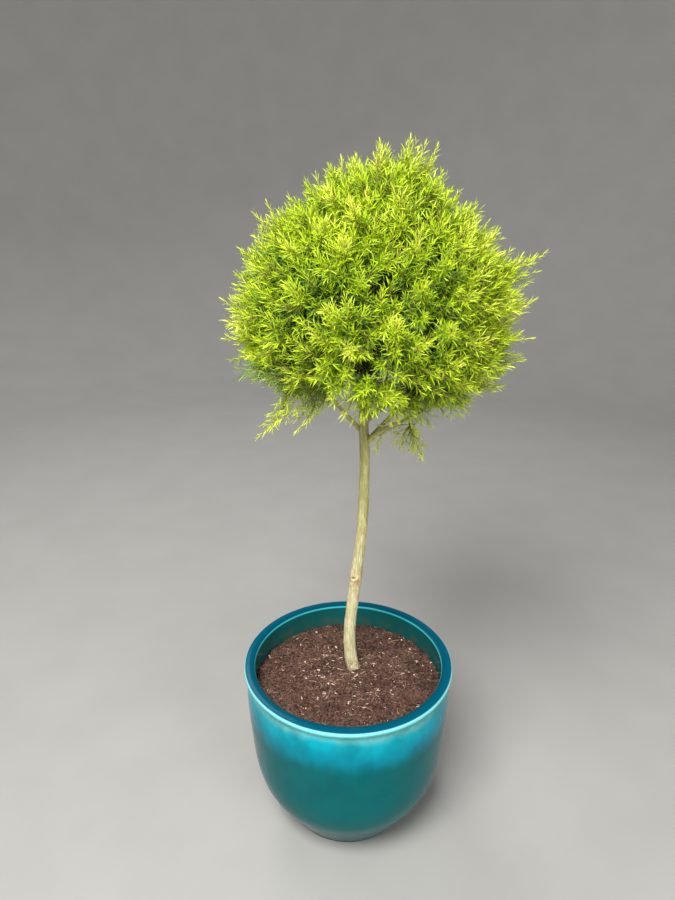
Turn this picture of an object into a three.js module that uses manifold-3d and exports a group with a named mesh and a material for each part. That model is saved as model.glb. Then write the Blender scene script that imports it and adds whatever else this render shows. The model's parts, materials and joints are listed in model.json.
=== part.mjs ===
// A standard lollipop topiary: one bare stem with a loosely clipped round head of fine
// golden foliage, grown in a round glazed pot. Millimetres, +Z up. The origin is the centre
// of the pot's flat underside, the front looks along -Y and +X is to its right.
import * as THREE from "three";
import { mergeVertices } from "three/addons/utils/BufferGeometryUtils.js";
import Module from "manifold-3d";

const wasm = await Module();
wasm.setup();

// Driving dimensions
const GAP = 0.3; // clear space between pieces that meet

const POT = {
  height: 373,
  footRadius: 131,
  // The belly's radius at shares of the pot's height, from just above the foot to the lip.
  belly: [
    [0.04, 139],
    [0.1, 152.5],
    [0.2, 175.5],
    [0.29, 191.5],
    [0.4, 201.5],
    [0.56, 207.5],
    [0.8, 213.5],
    [0.955, 212.5],
  ],
  footRound: 4.5,
  lipRadius: 220,
  lipDrop: 6, // from the rim down to the lip's widest line
  lipUnderside: 4.5, // height of the roll below that line
  rimOuter: 215,
  rimInner: 193,
  rimRound: 3.5,
  mouthRadius: 197, // inside wall just under the rim
  mouthDepth: 22, // from the rim down to there
  wall: 17,
  floor: 22,
  insideRows: [0.1, 0.22, 0.4], // shares of the height where the inside wall bends
  sides: 44,
};

const SOIL = {
  edgeHeight: 323,
  dome: 13.7, // rise from the pot's wall to the stem
  domeRows: [0.78, 0.5], // shares of the radius where the dome bends
  flatRadius: 46, // level patch that the stem stands on
};

const TRUNK = {
  footHeight: SOIL.edgeHeight + SOIL.dome + GAP,
  topHeight: 930,
  depth: 26, // where the stem stands behind the pot's middle
  // The centre line's sideways place at shares of the way up: the stem leans and bends a little.
  sway: [
    [0, 7],
    [0.12, 2.5],
    [0.3, 10],
    [0.5, 23],
    [0.68, 28.5],
    [0.82, 29.5],
    [0.93, 26],
    [1, 27],
  ],
  footRadius: 12.6,
  topRadius: 8.6,
  footBand: 3, // height below which the foot is cut level
  flare: 3.4, // extra radius of the root flare at the ground
  flareHeight: 22,
  knotHeight: 556, // healed pruning scar on the stem
  knotBulge: 1.6,
  knotLength: 16,
  sides: 12,
  steps: 22,
};

// The head's outline: a blunt cone above its widest line and a squarer bowl below it.
const CROWN = {
  centre: new THREE.Vector3(43.5, 26, 1119),
  halfWidth: 255,
  topRise: 245,
  bottomDrop: 196,
  topPower: 1.46,
  bottomPower: 3.1,
  lean: 0.03,
};

// The leader carries the stem on through the head: its middle points stand off the crown's axis.
const LEADER = {
  tipHeight: 1236,
  footRadius: 8.2,
  tipRadius: 3.4,
  lowShare: 0.45, // the lower middle point, as a share of the way to the crown's centre
  lowShift: [-4, 3, 0],
  highShift: [4, -3, 20], // the upper middle point, from the crown's centre
  steps: 12,
};

// The foliage is in tiers of masses, each mass fed by one bough of the stem or its leader.
const TIERS = [
  {
    ring: 150,
    height: 1030,
    bearing: 184,
    hubRing: 150,
    hubHeight: 1035,
    parent: "trunk",
    boughs: [
      { name: "left", foot: 870, bearing: 182, rise: 44, radius: 4.2 },
      { name: "front_left", foot: 916, bearing: 250, rise: 38, radius: 4.2 },
      { name: "right_low", foot: 846, bearing: 338, rise: 52, radius: 4.6 },
      { name: "right_high", foot: 892, bearing: 16, rise: 30, radius: 5 },
      { name: "back_left", foot: 908, bearing: 108, rise: 40, radius: 4.2 },
    ],
  },
  {
    ring: 140,
    height: 1165,
    bearing: 218,
    hubRing: 105,
    hubHeight: 1168,
    parent: "leader",
    boughs: [
      { name: "upper_left", foot: 984, bearing: 218, rise: 58, radius: 4 },
      { name: "upper_right", foot: 1000, bearing: 338, rise: 58, radius: 4 },
      { name: "upper_back", foot: 1016, bearing: 98, rise: 58, radius: 3.8 },
    ],
  },
  {
    ring: 0,
    height: 1290,
    bearing: 0,
    hubRing: 0,
    hubHeight: 1272,
    parent: null,
    boughs: [{ name: "top" }],
  },
];
const BOUGH = {
  tipRadius: 2.8,
  collar: 1.6, // extra radius where it leaves its parent
  collarFade: 9,
  handle: 0.4, // how far the curve holds its first and last direction
  entryTurn: -0.25,
  hubDistance: 62, // from the bough's tip to the hub of its mass
  sides: 6,
  steps: 7,
};
const STEM = { reach: 0.68, sides: 6, steps: 4 }; // a mass's stem runs on to this crown share
const SPOT_STEP = 6; // spacing of the points that stand for a limb

// The dense heart of each mass, and the hollow under the head where the boughs spread.
const HEART = { share: 0.9, lump: 0.19, detail: 4 };
const HOLLOWS = [
  { centre: [40, 22, 928], size: [132, 132, 175] },
  // Bays in the head's lower edge, left and right of the stem, where the boughs are seen.
  { centre: [-36, -112, 925], size: [50, 95, 58] },
  { centre: [70, -108, 905], size: [44, 95, 50] },
];
const CELL_MARGIN = 1.6; // from a mass to the plane halfway to its neighbour
const LIMB_MARGIN = 2.4; // from a mass to the limbs that run through it
const CUTTER = { blockSize: 1600, limbSides: 6, limbRows: [0.25, 0.5, 0.75, 0.97] };

// Twigs end in sprays of long narrow leaves, each larger than life. Most twigs end inside the
// heart, so that only their leaves stand out; the long shoots are bare wood to the outline.
const TWIG = {
  count: 94,
  rootRadius: 3.6,
  tipRadius: 1.6,
  sides: 3,
  steps: 2,
  lift: 0.3, // how far growth turns upwards
  mouth: 120, // no spray points down inside this radius
  endShare: 0.8, // crown share at which a spray's twig ends
  stemFrom: 0.35, // twigs leave the mass's stem from here on
  stemSpan: 0.6,
  otherStarts: [0.6, 0.95, 0.25], // tried where the first start leaves the mass's space
  bend: 0.45,
  leavesFrom: 0.9, // share of its length at which the lowest leaf sits
  checks: [0.2, 0.4, 0.6, 0.8, 1],
};
const LEAF = {
  widthPerLength: 0.2,
  thickness: 3,
  widest: 0.56,
  bow: 3,
  sink: 2.6, // depth of its root in the twig
  spread: [66, 60, 50, 36, 8], // degrees away from the twig, from its lowest leaf to its tip
  tries: 9,
  turnStep: 0.7,
  shortest: 48,
  longest: 120,
  lengthStep: 2,
};
const SHOOT = {
  leafLength: 48,
  leafWidth: 13,
  spread: [60, 54, 48, 40, 4],
  from: 0.91, // crown share at which the shoot's lowest leaf sits
  shareStep: 0.02,
  latest: 0.7, // share of its length above which there are always leaves
  firstItem: 1000,
  steps: 4,
};
const OUTLINE = { low: 0.99, high: 1.07, limit: 1.1 }; // crown shares that leaf tips reach
const TWIG_ROOM = CELL_MARGIN + TWIG.rootRadius;
// The least distance of a tip from the edge of its mass's space.
const SEAM_ROOM = { spray: 13, shoot: 6, rounds: 4 };

// The long shoots that stand out of the clipped outline, by the place of their tips.
const SHOOTS = [
  [96, 26, 1375],
  [120, 20, 1369],
  [141, 34, 1366],
  [-36, 30, 1334],
  [332, 22, 1199],
  [325, 30, 1118],
  [-228, 24, 1048],
  [-186, 20, 1202],
  [-164, 34, 1262],
  [-190, -20, 924],
  [-151, -120, 916],
  [-73, -120, 922],
  [113, -102, 918],
  [164, -66, 938],
  [246, -62, 968],
  [209, -120, 967],
  [122, -40, 848],
  [57, -40, 862],
  [60, 284, 1190],
  [-34, 262, 1000],
  [192, 240, 1076],
];

const UP = new THREE.Vector3(0, 0, 1);
const GOLDEN = Math.PI * (3 - Math.sqrt(5));
const SEED = 7;
const HASH = { item: 12.9898, purpose: 78.233, spread: 43758.5453 };
const PURPOSE = { start: 2, turn: 3, length: 10, lump: 20 };

// The same number from 0 to 1 each time for one item and one purpose.
function chance(item, purpose) {
  const wave = Math.sin(item * HASH.item + purpose * HASH.purpose + SEED) * HASH.spread;
  return wave - Math.floor(wave);
}

function radians(degrees) {
  return (degrees * Math.PI) / 180;
}

// A point given by its distance and bearing from an upright axis, and its height.
function around(axis, ring, bearing, height) {
  const turn = radians(bearing);
  return new THREE.Vector3(
    axis.x + ring * Math.cos(turn),
    axis.y + ring * Math.sin(turn),
    height,
  );
}

function heading(bearing, rise) {
  const turn = radians(bearing);
  const tilt = radians(rise);
  return new THREE.Vector3(
    Math.cos(tilt) * Math.cos(turn),
    Math.cos(tilt) * Math.sin(turn),
    Math.sin(tilt),
  );
}

// Joining and cutting
function solid(geometry) {
  geometry.deleteAttribute("normal");
  geometry.deleteAttribute("uv");
  const merged = mergeVertices(geometry, 1e-4);
  return new wasm.Manifold(
    new wasm.Mesh({
      numProp: 3,
      vertProperties: new Float32Array(merged.getAttribute("position").array),
      triVerts: new Uint32Array(merged.index.array),
    }),
  );
}

// The outer body only: sealed hollows are filled and loose scraps are dropped.
function wholeBody(joined) {
  const bodies = joined.decompose();
  return bodies.reduce((best, body) => (body.volume() > best.volume() ? body : best));
}

function faceted(body) {
  const mesh = body.getMesh();
  const shared = new THREE.BufferGeometry();
  shared.setAttribute("position", new THREE.BufferAttribute(mesh.vertProperties, 3));
  shared.setIndex(new THREE.BufferAttribute(mesh.triVerts, 1));
  const loose = shared.toNonIndexed();
  loose.computeVertexNormals();
  return loose;
}

// A tapering limb along a path, closed by a flat cap at each end.
function limb(path, radiusAt, sides, steps) {
  const geometry = new THREE.CylinderGeometry(1, 1, 1, sides, steps);
  const frames = path.computeFrenetFrames(steps, false);
  const position = geometry.getAttribute("position");
  const spot = new THREE.Vector3();
  for (let i = 0; i < position.count; i++) {
    spot.fromBufferAttribute(position, i);
    const step = Math.round((spot.y + 0.5) * steps);
    const radius = radiusAt(step / steps);
    const centre = path.getPointAt(step / steps);
    centre.addScaledVector(frames.binormals[step], radius * spot.x);
    centre.addScaledVector(frames.normals[step], radius * spot.z);
    position.setXYZ(i, centre.x, centre.y, centre.z);
  }
  return geometry;
}

// The crown's outline
function crownReach(direction) {
  const above = direction.z >= 0;
  const power = above ? CROWN.topPower : CROWN.bottomPower;
  const half = above ? CROWN.topRise : CROWN.bottomDrop;
  const side = Math.hypot(direction.x - CROWN.lean * direction.z, direction.y);
  const sum = (side / CROWN.halfWidth) ** power + Math.abs(direction.z / half) ** power;
  return sum ** (-1 / power);
}

// How far out a point lies, as a share of the way from the crown's centre to its outline.
function crownShare(point) {
  const away = point.clone().sub(CROWN.centre);
  const distance = away.length();
  return distance / crownReach(away.divideScalar(distance));
}

// The pot and the soil
function innerWallRadius(height) {
  const share = height / POT.height;
  const rows = [[0, POT.footRadius], ...POT.belly];
  const next = rows.findIndex((row) => row[0] >= share);
  const [lowShare, lowRadius] = rows[Math.max(next - 1, 0)];
  const [highShare, highRadius] = rows[next];
  const part = highShare > lowShare ? (share - lowShare) / (highShare - lowShare) : 0;
  return Math.min(lowRadius + part * (highRadius - lowRadius) - POT.wall, POT.mouthRadius);
}

// The inside of the wall from the middle of the floor upwards, drawn in by a clearance.
function insideWall(clearance) {
  const floor = POT.floor + clearance;
  const heights = POT.insideRows.map((share) => share * POT.height);
  return [
    new THREE.Vector2(0, floor),
    new THREE.Vector2(innerWallRadius(floor) - POT.wall, floor),
    ...heights.map((height) => new THREE.Vector2(innerWallRadius(height) - 2 * clearance, height)),
  ];
}

function makePot() {
  const profile = new THREE.Path();
  profile.moveTo(0, 0);
  profile.lineTo(POT.footRadius - POT.footRound, 0);
  profile.quadraticCurveTo(POT.footRadius, 0, POT.footRadius + 1, POT.footRound);
  const flat = profile.getPoints(2);
  const belly = POT.belly.map(([share, radius]) => new THREE.Vector2(radius, share * POT.height));
  const lip = new THREE.Path();
  const widest = POT.height - POT.lipDrop;
  lip.moveTo(POT.lipRadius - POT.lipUnderside / 3, widest - POT.lipUnderside);
  lip.lineTo(POT.lipRadius, widest);
  lip.quadraticCurveTo(POT.lipRadius, POT.height, POT.rimOuter, POT.height);
  lip.lineTo(POT.rimInner + POT.rimRound, POT.height);
  lip.quadraticCurveTo(POT.rimInner, POT.height, POT.rimInner, POT.height - POT.rimRound);
  lip.lineTo(POT.mouthRadius, POT.height - POT.mouthDepth);
  const inside = insideWall(0).reverse();
  const outline = [...flat, ...belly, ...lip.getPoints(2), ...inside];
  return new THREE.LatheGeometry(outline, POT.sides).rotateX(Math.PI / 2);
}

// The inside wall's radius at the soil's edge, between its highest bend and the mouth.
function soilEdgeRadius() {
  const bend = POT.insideRows.at(-1) * POT.height;
  const mouth = POT.height - POT.mouthDepth;
  const share = (SOIL.edgeHeight - bend) / (mouth - bend);
  return THREE.MathUtils.lerp(innerWallRadius(bend), POT.mouthRadius, share) - 2 * GAP;
}

function makeSoil() {
  const rise = (share) => SOIL.edgeHeight + SOIL.dome * Math.cos((share * Math.PI) / 2);
  const edgeRadius = soilEdgeRadius();
  const outline = [
    ...insideWall(GAP),
    new THREE.Vector2(edgeRadius, SOIL.edgeHeight),
    ...SOIL.domeRows.map((share) => new THREE.Vector2(edgeRadius * share, rise(share))),
    new THREE.Vector2(SOIL.flatRadius, rise(0)),
    new THREE.Vector2(0, rise(0)),
  ];
  return new THREE.LatheGeometry(outline, POT.sides).rotateX(Math.PI / 2);
}

// The stem and its limbs
const trunkPath = new THREE.CatmullRomCurve3(
  TRUNK.sway.map(([share, sideways]) => {
    const height = THREE.MathUtils.lerp(TRUNK.footHeight, TRUNK.topHeight, share);
    return new THREE.Vector3(sideways, TRUNK.depth, height);
  }),
);

function trunkRadius(share) {
  const height = THREE.MathUtils.lerp(TRUNK.footHeight, TRUNK.topHeight, share);
  const taper = THREE.MathUtils.lerp(TRUNK.footRadius, TRUNK.topRadius, share);
  const flare = TRUNK.flare * Math.exp(-(height - TRUNK.footHeight) / TRUNK.flareHeight);
  const fromKnot = (height - TRUNK.knotHeight) / TRUNK.knotLength;
  const knot = TRUNK.knotBulge * Math.exp(-(fromKnot ** 2));
  return taper + flare + knot;
}

function makeTrunk(extra) {
  const body = limb(trunkPath, (share) => trunkRadius(share) + extra, TRUNK.sides, TRUNK.steps);
  // The cut at the ground is level.
  const position = body.getAttribute("position");
  for (let i = 0; i < position.count; i++) {
    if (position.getZ(i) < TRUNK.footHeight + TRUNK.footBand) {
      position.setZ(i, TRUNK.footHeight - extra);
    }
  }
  return body;
}

const leaderFoot = trunkPath.getPointAt(1).addScaledVector(trunkPath.getTangentAt(1), GAP);
const leaderLow = leaderFoot.clone().lerp(CROWN.centre, LEADER.lowShare);
const leaderPath = new THREE.CatmullRomCurve3([
  leaderFoot,
  leaderLow.add(new THREE.Vector3(...LEADER.lowShift)),
  CROWN.centre.clone().add(new THREE.Vector3(...LEADER.highShift)),
  new THREE.Vector3(CROWN.centre.x, CROWN.centre.y, LEADER.tipHeight),
]);

function leaderRadius(share) {
  return THREE.MathUtils.lerp(LEADER.footRadius, LEADER.tipRadius, share);
}

function makeLeader(extra) {
  return limb(leaderPath, (share) => leaderRadius(share) + extra, BOUGH.sides, LEADER.steps);
}

// The point of a rising path at a given height.
function atHeight(path, height) {
  let low = 0;
  let high = 1;
  while (high - low > 1e-7) {
    const middle = (low + high) / 2;
    if (path.getPointAt(middle).z < height) low = middle;
    else high = middle;
  }
  return path.getPointAt(low);
}

// A bough's path from its parent to its tip, short of the hub that it points to.
function boughPathTo(hub, parentPath, bough) {
  const foot = atHeight(parentPath, bough.foot);
  const start = heading(bough.bearing, bough.rise);
  const entry = hub.clone().sub(foot).normalize().lerp(start, BOUGH.entryTurn).normalize();
  const tip = hub.clone().addScaledVector(entry, -BOUGH.hubDistance);
  const handle = foot.distanceTo(tip) * BOUGH.handle;
  return new THREE.CubicBezierCurve3(
    foot,
    foot.clone().addScaledVector(start, handle),
    tip.clone().addScaledVector(entry, -handle),
    tip,
  );
}

function boughRadiusOf(bough) {
  return (share) => {
    const collar = BOUGH.collar * Math.exp(-share * BOUGH.collarFade);
    return THREE.MathUtils.lerp(bough.radius, BOUGH.tipRadius, share) + collar;
  };
}

// Each mass: its place in the crown, its bough and the stem that its twigs leave.
const masses = [];
for (const tier of TIERS) {
  tier.boughs.forEach((bough, place) => {
    const bearing = tier.bearing + (360 / tier.boughs.length) * place;
    const middle = around(CROWN.centre, tier.ring, bearing, tier.height);
    const hub = around(CROWN.centre, tier.hubRing, bearing, tier.hubHeight);
    const mass = { name: bough.name, parent: tier.parent, middle, sprays: [], shoots: [] };
    if (tier.parent) {
      mass.boughPath = boughPathTo(hub, tier.parent === "trunk" ? trunkPath : leaderPath, bough);
      mass.boughRadius = boughRadiusOf(bough);
    } else {
      mass.boughPath = leaderPath;
      mass.boughRadius = leaderRadius;
    }
    const outward = middle.clone().sub(CROWN.centre).normalize();
    const stemFoot = mass.boughPath.getPointAt(1);
    stemFoot.addScaledVector(mass.boughPath.getTangentAt(1), GAP);
    const stemReach = crownReach(outward) * STEM.reach;
    const stemTip = CROWN.centre.clone().addScaledVector(outward, stemReach);
    mass.stemPath = new THREE.QuadraticBezierCurve3(stemFoot, hub, stemTip);
    masses.push(mass);
  });
}

// Points along every limb, to keep leaves and twigs clear of them.
const limbSpots = [];
function noteLimb(path, radiusAt) {
  const spots = Math.ceil(path.getLength() / SPOT_STEP);
  for (let i = 0; i <= spots; i++) {
    limbSpots.push({ centre: path.getPointAt(i / spots), radius: radiusAt(i / spots) });
  }
}
noteLimb(trunkPath, trunkRadius);
masses.forEach((mass) => noteLimb(mass.boughPath, mass.boughRadius));

// The plane halfway between two masses: its direction, and how far short of it a point is.
function halfwayPlane(mass, other) {
  const across = other.middle.clone().sub(mass.middle).normalize();
  const halfway = mass.middle.clone().add(other.middle).multiplyScalar(0.5);
  return { across, halfway, room: (point) => halfway.clone().sub(point).dot(across) };
}
masses.forEach((mass) => {
  const others = masses.filter((other) => other !== mass);
  mass.planes = others.map((other) => halfwayPlane(mass, other));
});

// How far a point is inside its mass's own space.
function roomInCell(mass, point) {
  return Math.min(...mass.planes.map((plane) => plane.room(point)));
}

function clearOfLimbs(point) {
  return limbSpots.every(
    ({ centre, radius }) => centre.distanceTo(point) > radius + LIMB_MARGIN,
  );
}

function outsideHollows(point) {
  return HOLLOWS.every(({ centre, size }) => {
    const shares = size.map((radius, i) => (point.getComponent(i) - centre[i]) / radius);
    return Math.hypot(...shares) > 1;
  });
}

// Whether a leaf keeps to its mass's space. A spray's leaf also stays out of the hollows.
function fits(mass, points, limit) {
  return points.every((point) => {
    const inSpace = roomInCell(mass, point) > CELL_MARGIN && crownShare(point) < limit;
    const open = limit === Infinity || outsideHollows(point);
    return inSpace && open && clearOfLimbs(point);
  });
}

// The heart of the crown, lumpy, before it is parted into masses.
function crownHeart() {
  const ball = new THREE.IcosahedronGeometry(1, HEART.detail);
  ball.deleteAttribute("normal");
  ball.deleteAttribute("uv");
  const heart = mergeVertices(ball, 1e-4);
  const position = heart.getAttribute("position");
  const spot = new THREE.Vector3();
  for (let i = 0; i < position.count; i++) {
    spot.fromBufferAttribute(position, i).normalize();
    const lump = HEART.lump * (chance(i, PURPOSE.lump) - 0.5);
    spot.multiplyScalar(crownReach(spot) * HEART.share * (1 + lump)).add(CROWN.centre);
    position.setXYZ(i, spot.x, spot.y, spot.z);
  }
  return solid(heart);
}

function hollowBody({ centre, size }) {
  const hollow = new THREE.IcosahedronGeometry(1, 1);
  hollow.scale(...size);
  hollow.translate(...centre);
  return solid(hollow);
}

// A block whose one face lies on the plane halfway to a neighbour, a margin short of it.
function blockBeyond({ across, halfway }) {
  const size = CUTTER.blockSize;
  const block = new THREE.BoxGeometry(size, size, size);
  block.applyQuaternion(new THREE.Quaternion().setFromUnitVectors(UP, across));
  const middle = halfway.clone().addScaledVector(across, size / 2 - CELL_MARGIN);
  block.translate(middle.x, middle.y, middle.z);
  return solid(block);
}

function grownLimb(path, radiusAt) {
  const end = path.getPointAt(1).addScaledVector(path.getTangentAt(1), LIMB_MARGIN);
  const rows = CUTTER.limbRows.map((share) => path.getPointAt(share));
  const points = [path.getPointAt(0), ...rows, end];
  const widened = (share) => radiusAt(share) + LIMB_MARGIN;
  const sides = CUTTER.limbSides;
  return solid(limb(new THREE.CatmullRomCurve3(points), widened, sides, points.length));
}

// A narrow leaf of six faces: a root, a tip, two edges and a keel under the fold.
function leafCorners(root, direction, face, length, width) {
  const side = direction.clone().cross(face).normalize();
  const waist = root.clone().addScaledVector(direction, length * LEAF.widest);
  waist.addScaledVector(face, LEAF.bow);
  return [
    root,
    waist.clone().addScaledVector(side, width / 2),
    waist.clone().addScaledVector(side, -width / 2),
    waist.clone().addScaledVector(face, -LEAF.thickness),
    root.clone().addScaledVector(direction, length),
  ];
}

function makeLeaf(corners) {
  const blade = new THREE.BufferGeometry().setFromPoints(corners);
  blade.setIndex([0, 1, 2, 0, 3, 1, 0, 2, 3, 4, 2, 1, 4, 1, 3, 4, 3, 2]);
  return solid(blade);
}

// The length at which a leaf from this root reaches a share of the crown's outline.
function lengthToOutline(root, direction, share) {
  let length = LEAF.shortest;
  while (length < LEAF.longest) {
    if (crownShare(root.clone().addScaledVector(direction, length)) >= share) break;
    length += LEAF.lengthStep;
  }
  return length;
}

// The path of a twig from the mass's stem that ends pointing outwards and a little up. It runs
// straighter, or from further along the stem, where it would leave the mass's space.
function twigPath(mass, item, end, outward) {
  for (const curl of [1, 0.5, 0]) {
    for (const along of [chance(item, PURPOSE.start), ...TWIG.otherStarts]) {
      const start = mass.stemPath.getPointAt(TWIG.stemFrom + TWIG.stemSpan * along);
      const bend = end.clone().addScaledVector(outward, -TWIG.bend * end.distanceTo(start));
      bend.lerp(end.clone().lerp(start, 0.5), 1 - curl);
      const path = new THREE.QuadraticBezierCurve3(start, bend, end);
      const spots = TWIG.checks.map((share) => path.getPointAt(share));
      const clear = (spot) => roomInCell(mass, spot) > TWIG_ROOM && clearOfLimbs(spot);
      if (spots.every(clear)) return path;
    }
  }
  return null;
}

function makeTwig(path, steps) {
  const radiusAt = (share) => THREE.MathUtils.lerp(TWIG.rootRadius, TWIG.tipRadius, share);
  return solid(limb(path, radiusAt, TWIG.sides, steps));
}

function growthDirection(tip) {
  const away = tip.clone().sub(CROWN.centre).normalize();
  return away.clone().addScaledVector(UP, TWIG.lift * (0.7 + 0.5 * away.z)).normalize();
}

// The centre of a twig as it is built, in straight lengths between the points of its path.
function onTwig(path, steps, share) {
  const step = Math.min(Math.floor(share * steps), steps - 1);
  const from = path.getPointAt(step / steps);
  return from.lerp(path.getPointAt((step + 1) / steps), share * steps - step);
}

// The leaves of one twig: each tries a few turns round it until it fits its mass's space.
function growLeaves(mass, item, path, habit) {
  const leaves = [];
  habit.spread.forEach((spread, k) => {
    const place = THREE.MathUtils.lerp(habit.from, habit.to, k / (habit.spread.length - 1));
    const along = path.getTangentAt(place);
    const across = along.clone().cross(UP).normalize();
    for (let attempt = 0; attempt < LEAF.tries; attempt++) {
      const start = 2 * Math.PI * chance(item, PURPOSE.turn);
      const turn = start + k * GOLDEN + attempt * LEAF.turnStep;
      const direction = along.clone().applyAxisAngle(across, radians(spread));
      direction.applyAxisAngle(along, turn).normalize();
      const root = onTwig(path, habit.steps, place).addScaledVector(direction, -LEAF.sink);
      const away = root.clone().sub(CROWN.centre).normalize();
      const face = away.addScaledVector(direction, -away.dot(direction));
      if (face.length() < 0.3) face.copy(across).applyAxisAngle(along, turn);
      const length = habit.lengthOf(root, direction, k);
      const width = habit.widthOf(length);
      const corners = leafCorners(root, direction, face.normalize(), length, width);
      if (!fits(mass, corners, habit.limit)) continue;
      leaves.push(makeLeaf(corners));
      break;
    }
  });
  return leaves;
}

// One spray of leaves standing out of the heart, on a twig that ends inside it.
function makeSpray(mass, { item, tip }) {
  const end = CROWN.centre.clone().lerp(tip, TWIG.endShare / crownShare(tip));
  drawnIn(mass, end, SEAM_ROOM.shoot);
  const path = twigPath(mass, item, end, growthDirection(tip));
  if (!path) return [];
  const outline = (k) =>
    THREE.MathUtils.lerp(OUTLINE.low, OUTLINE.high, chance(item, PURPOSE.length + k));
  const leaves = growLeaves(mass, item, path, {
    steps: TWIG.steps,
    spread: LEAF.spread,
    from: TWIG.leavesFrom,
    to: 1,
    lengthOf: (root, direction, k) => lengthToOutline(root, direction, outline(k)),
    widthOf: (length) => length * LEAF.widthPerLength,
    limit: OUTLINE.limit,
  });
  return [makeTwig(path, TWIG.steps), ...leaves];
}

// One long shoot that stands out past the outline, with leaves along its free length.
function makeShoot(mass, { item, tip }) {
  const outward = growthDirection(tip);
  const end = tip.clone().addScaledVector(outward, LEAF.sink - SHOOT.leafLength);
  const path = twigPath(mass, item, end, outward);
  if (!path) return [];
  let bare = 0;
  while (bare < SHOOT.latest && crownShare(path.getPointAt(bare)) < SHOOT.from) {
    bare += SHOOT.shareStep;
  }
  const leaves = growLeaves(mass, item, path, {
    steps: SHOOT.steps,
    spread: SHOOT.spread,
    from: bare,
    to: 0.99,
    lengthOf: () => SHOOT.leafLength,
    widthOf: () => SHOOT.leafWidth,
    limit: Infinity,
  });
  return [makeTwig(path, SHOOT.steps), ...leaves];
}

// Tips spread evenly over the outline by the golden angle, each given to the nearest mass.
function nearestMass(point) {
  return masses.reduce((best, mass) =>
    mass.middle.distanceTo(point) < best.middle.distanceTo(point) ? mass : best,
  );
}

// The tip of a spray or shoot, drawn in where it comes too near the edge of its mass's space.
// Drawing it off one plane can bring it near another, so the planes are gone through again.
function drawnIn(mass, tip, seamRoom) {
  for (let round = 0; round < SEAM_ROOM.rounds; round++) {
    for (const { across, room } of mass.planes) {
      tip.addScaledVector(across, Math.min(room(tip) - seamRoom, 0));
    }
  }
  return tip;
}

for (let i = 0; i < TWIG.count; i++) {
  const rise = 1 - (2 * (i + 0.5)) / TWIG.count;
  const turn = i * GOLDEN;
  const flat = Math.sqrt(1 - rise * rise);
  const direction = new THREE.Vector3(flat * Math.cos(turn), flat * Math.sin(turn), rise);
  const tip = direction.clone().multiplyScalar(crownReach(direction));
  if (rise < 0 && Math.hypot(tip.x, tip.y) < TWIG.mouth) continue;
  tip.add(CROWN.centre);
  const mass = nearestMass(tip);
  mass.sprays.push({ item: i, tip: drawnIn(mass, tip, SEAM_ROOM.spray) });
}
SHOOTS.forEach((place, i) => {
  const tip = new THREE.Vector3(...place);
  const mass = nearestMass(tip);
  mass.shoots.push({ item: SHOOT.firstItem + i, tip: drawnIn(mass, tip, SEAM_ROOM.shoot) });
});

const heart = HOLLOWS.map(hollowBody).reduce((left, hollow) => left.subtract(hollow), crownHeart());
const limbCutters = [
  grownLimb(trunkPath, trunkRadius),
  ...masses.map((mass) => grownLimb(mass.boughPath, mass.boughRadius)),
];

function makeMass(mass) {
  const cutters = [...mass.planes.map(blockBeyond), ...limbCutters];
  const core = cutters.reduce((left, cutter) => left.subtract(cutter), heart);
  const footRadius = mass.boughRadius(1);
  const stemRadius = (share) => THREE.MathUtils.lerp(footRadius, TWIG.rootRadius, share);
  const stem = solid(limb(mass.stemPath, stemRadius, STEM.sides, STEM.steps));
  const sprays = mass.sprays.flatMap((spray) => makeSpray(mass, spray));
  const shoots = mass.shoots.flatMap((shoot) => makeShoot(mass, shoot));
  return wholeBody(wasm.Manifold.union([core, stem, ...sprays, ...shoots]));
}

// The finished plant
const finishes = {
  glaze: new THREE.MeshStandardMaterial({ color: 0x0f8f9c, roughness: 0.18, metalness: 0 }),
  soil: new THREE.MeshStandardMaterial({ color: 0x4d342a, roughness: 0.95, metalness: 0 }),
  bark: new THREE.MeshStandardMaterial({ color: 0xb3a878, roughness: 0.8, metalness: 0 }),
  leaves: new THREE.MeshStandardMaterial({ color: 0x9fb838, roughness: 0.6, metalness: 0 }),
};

function addPart(group, name, geometry, finish) {
  const mesh = new THREE.Mesh(geometry, finish.clone());
  mesh.name = name;
  group.add(mesh);
}

const container = new THREE.Group();
addPart(container, "pot", makePot(), finishes.glaze);
addPart(container, "soil", makeSoil(), finishes.soil);

const wood = new THREE.Group();
addPart(wood, "trunk", makeTrunk(0), finishes.bark);
addPart(wood, "leader", makeLeader(0), finishes.bark);
const parents = { trunk: solid(makeTrunk(GAP)), leader: solid(makeLeader(GAP)) };
masses.filter((mass) => mass.parent).forEach((mass) => {
  const whole = solid(limb(mass.boughPath, mass.boughRadius, BOUGH.sides, BOUGH.steps));
  const bough = wholeBody(whole.subtract(parents[mass.parent]));
  addPart(wood, `bough_${mass.name}`, faceted(bough), finishes.bark);
});

const head = new THREE.Group();
masses.forEach((mass) => {
  addPart(head, `foliage_${mass.name}`, faceted(makeMass(mass)), finishes.leaves);
});

const topiary = new THREE.Group();
topiary.add(container, wood, head);
export default topiary;
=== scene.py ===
"""A standard lollipop topiary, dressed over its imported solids.

A slim bare stem carries a loosely clipped round head of fine golden needles, grown in a round
pot with a teal glaze. Sizes are in metres, +Z is up and the front looks along -Y. The frame has
the pot, the soil, the stem with its leader and boughs, and the masses of foliage. Here the
boughs grow on into twigs, sprigs and leaves, by the rule that shaped those masses.
"""

from __future__ import annotations

import json
import logging
import math
from collections.abc import Callable, Iterable, Sequence
from dataclasses import dataclass, field
from enum import Enum

import bpy  # noqa: E402
import numpy as np  # noqa: E402
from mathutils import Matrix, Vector  # noqa: E402

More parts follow.
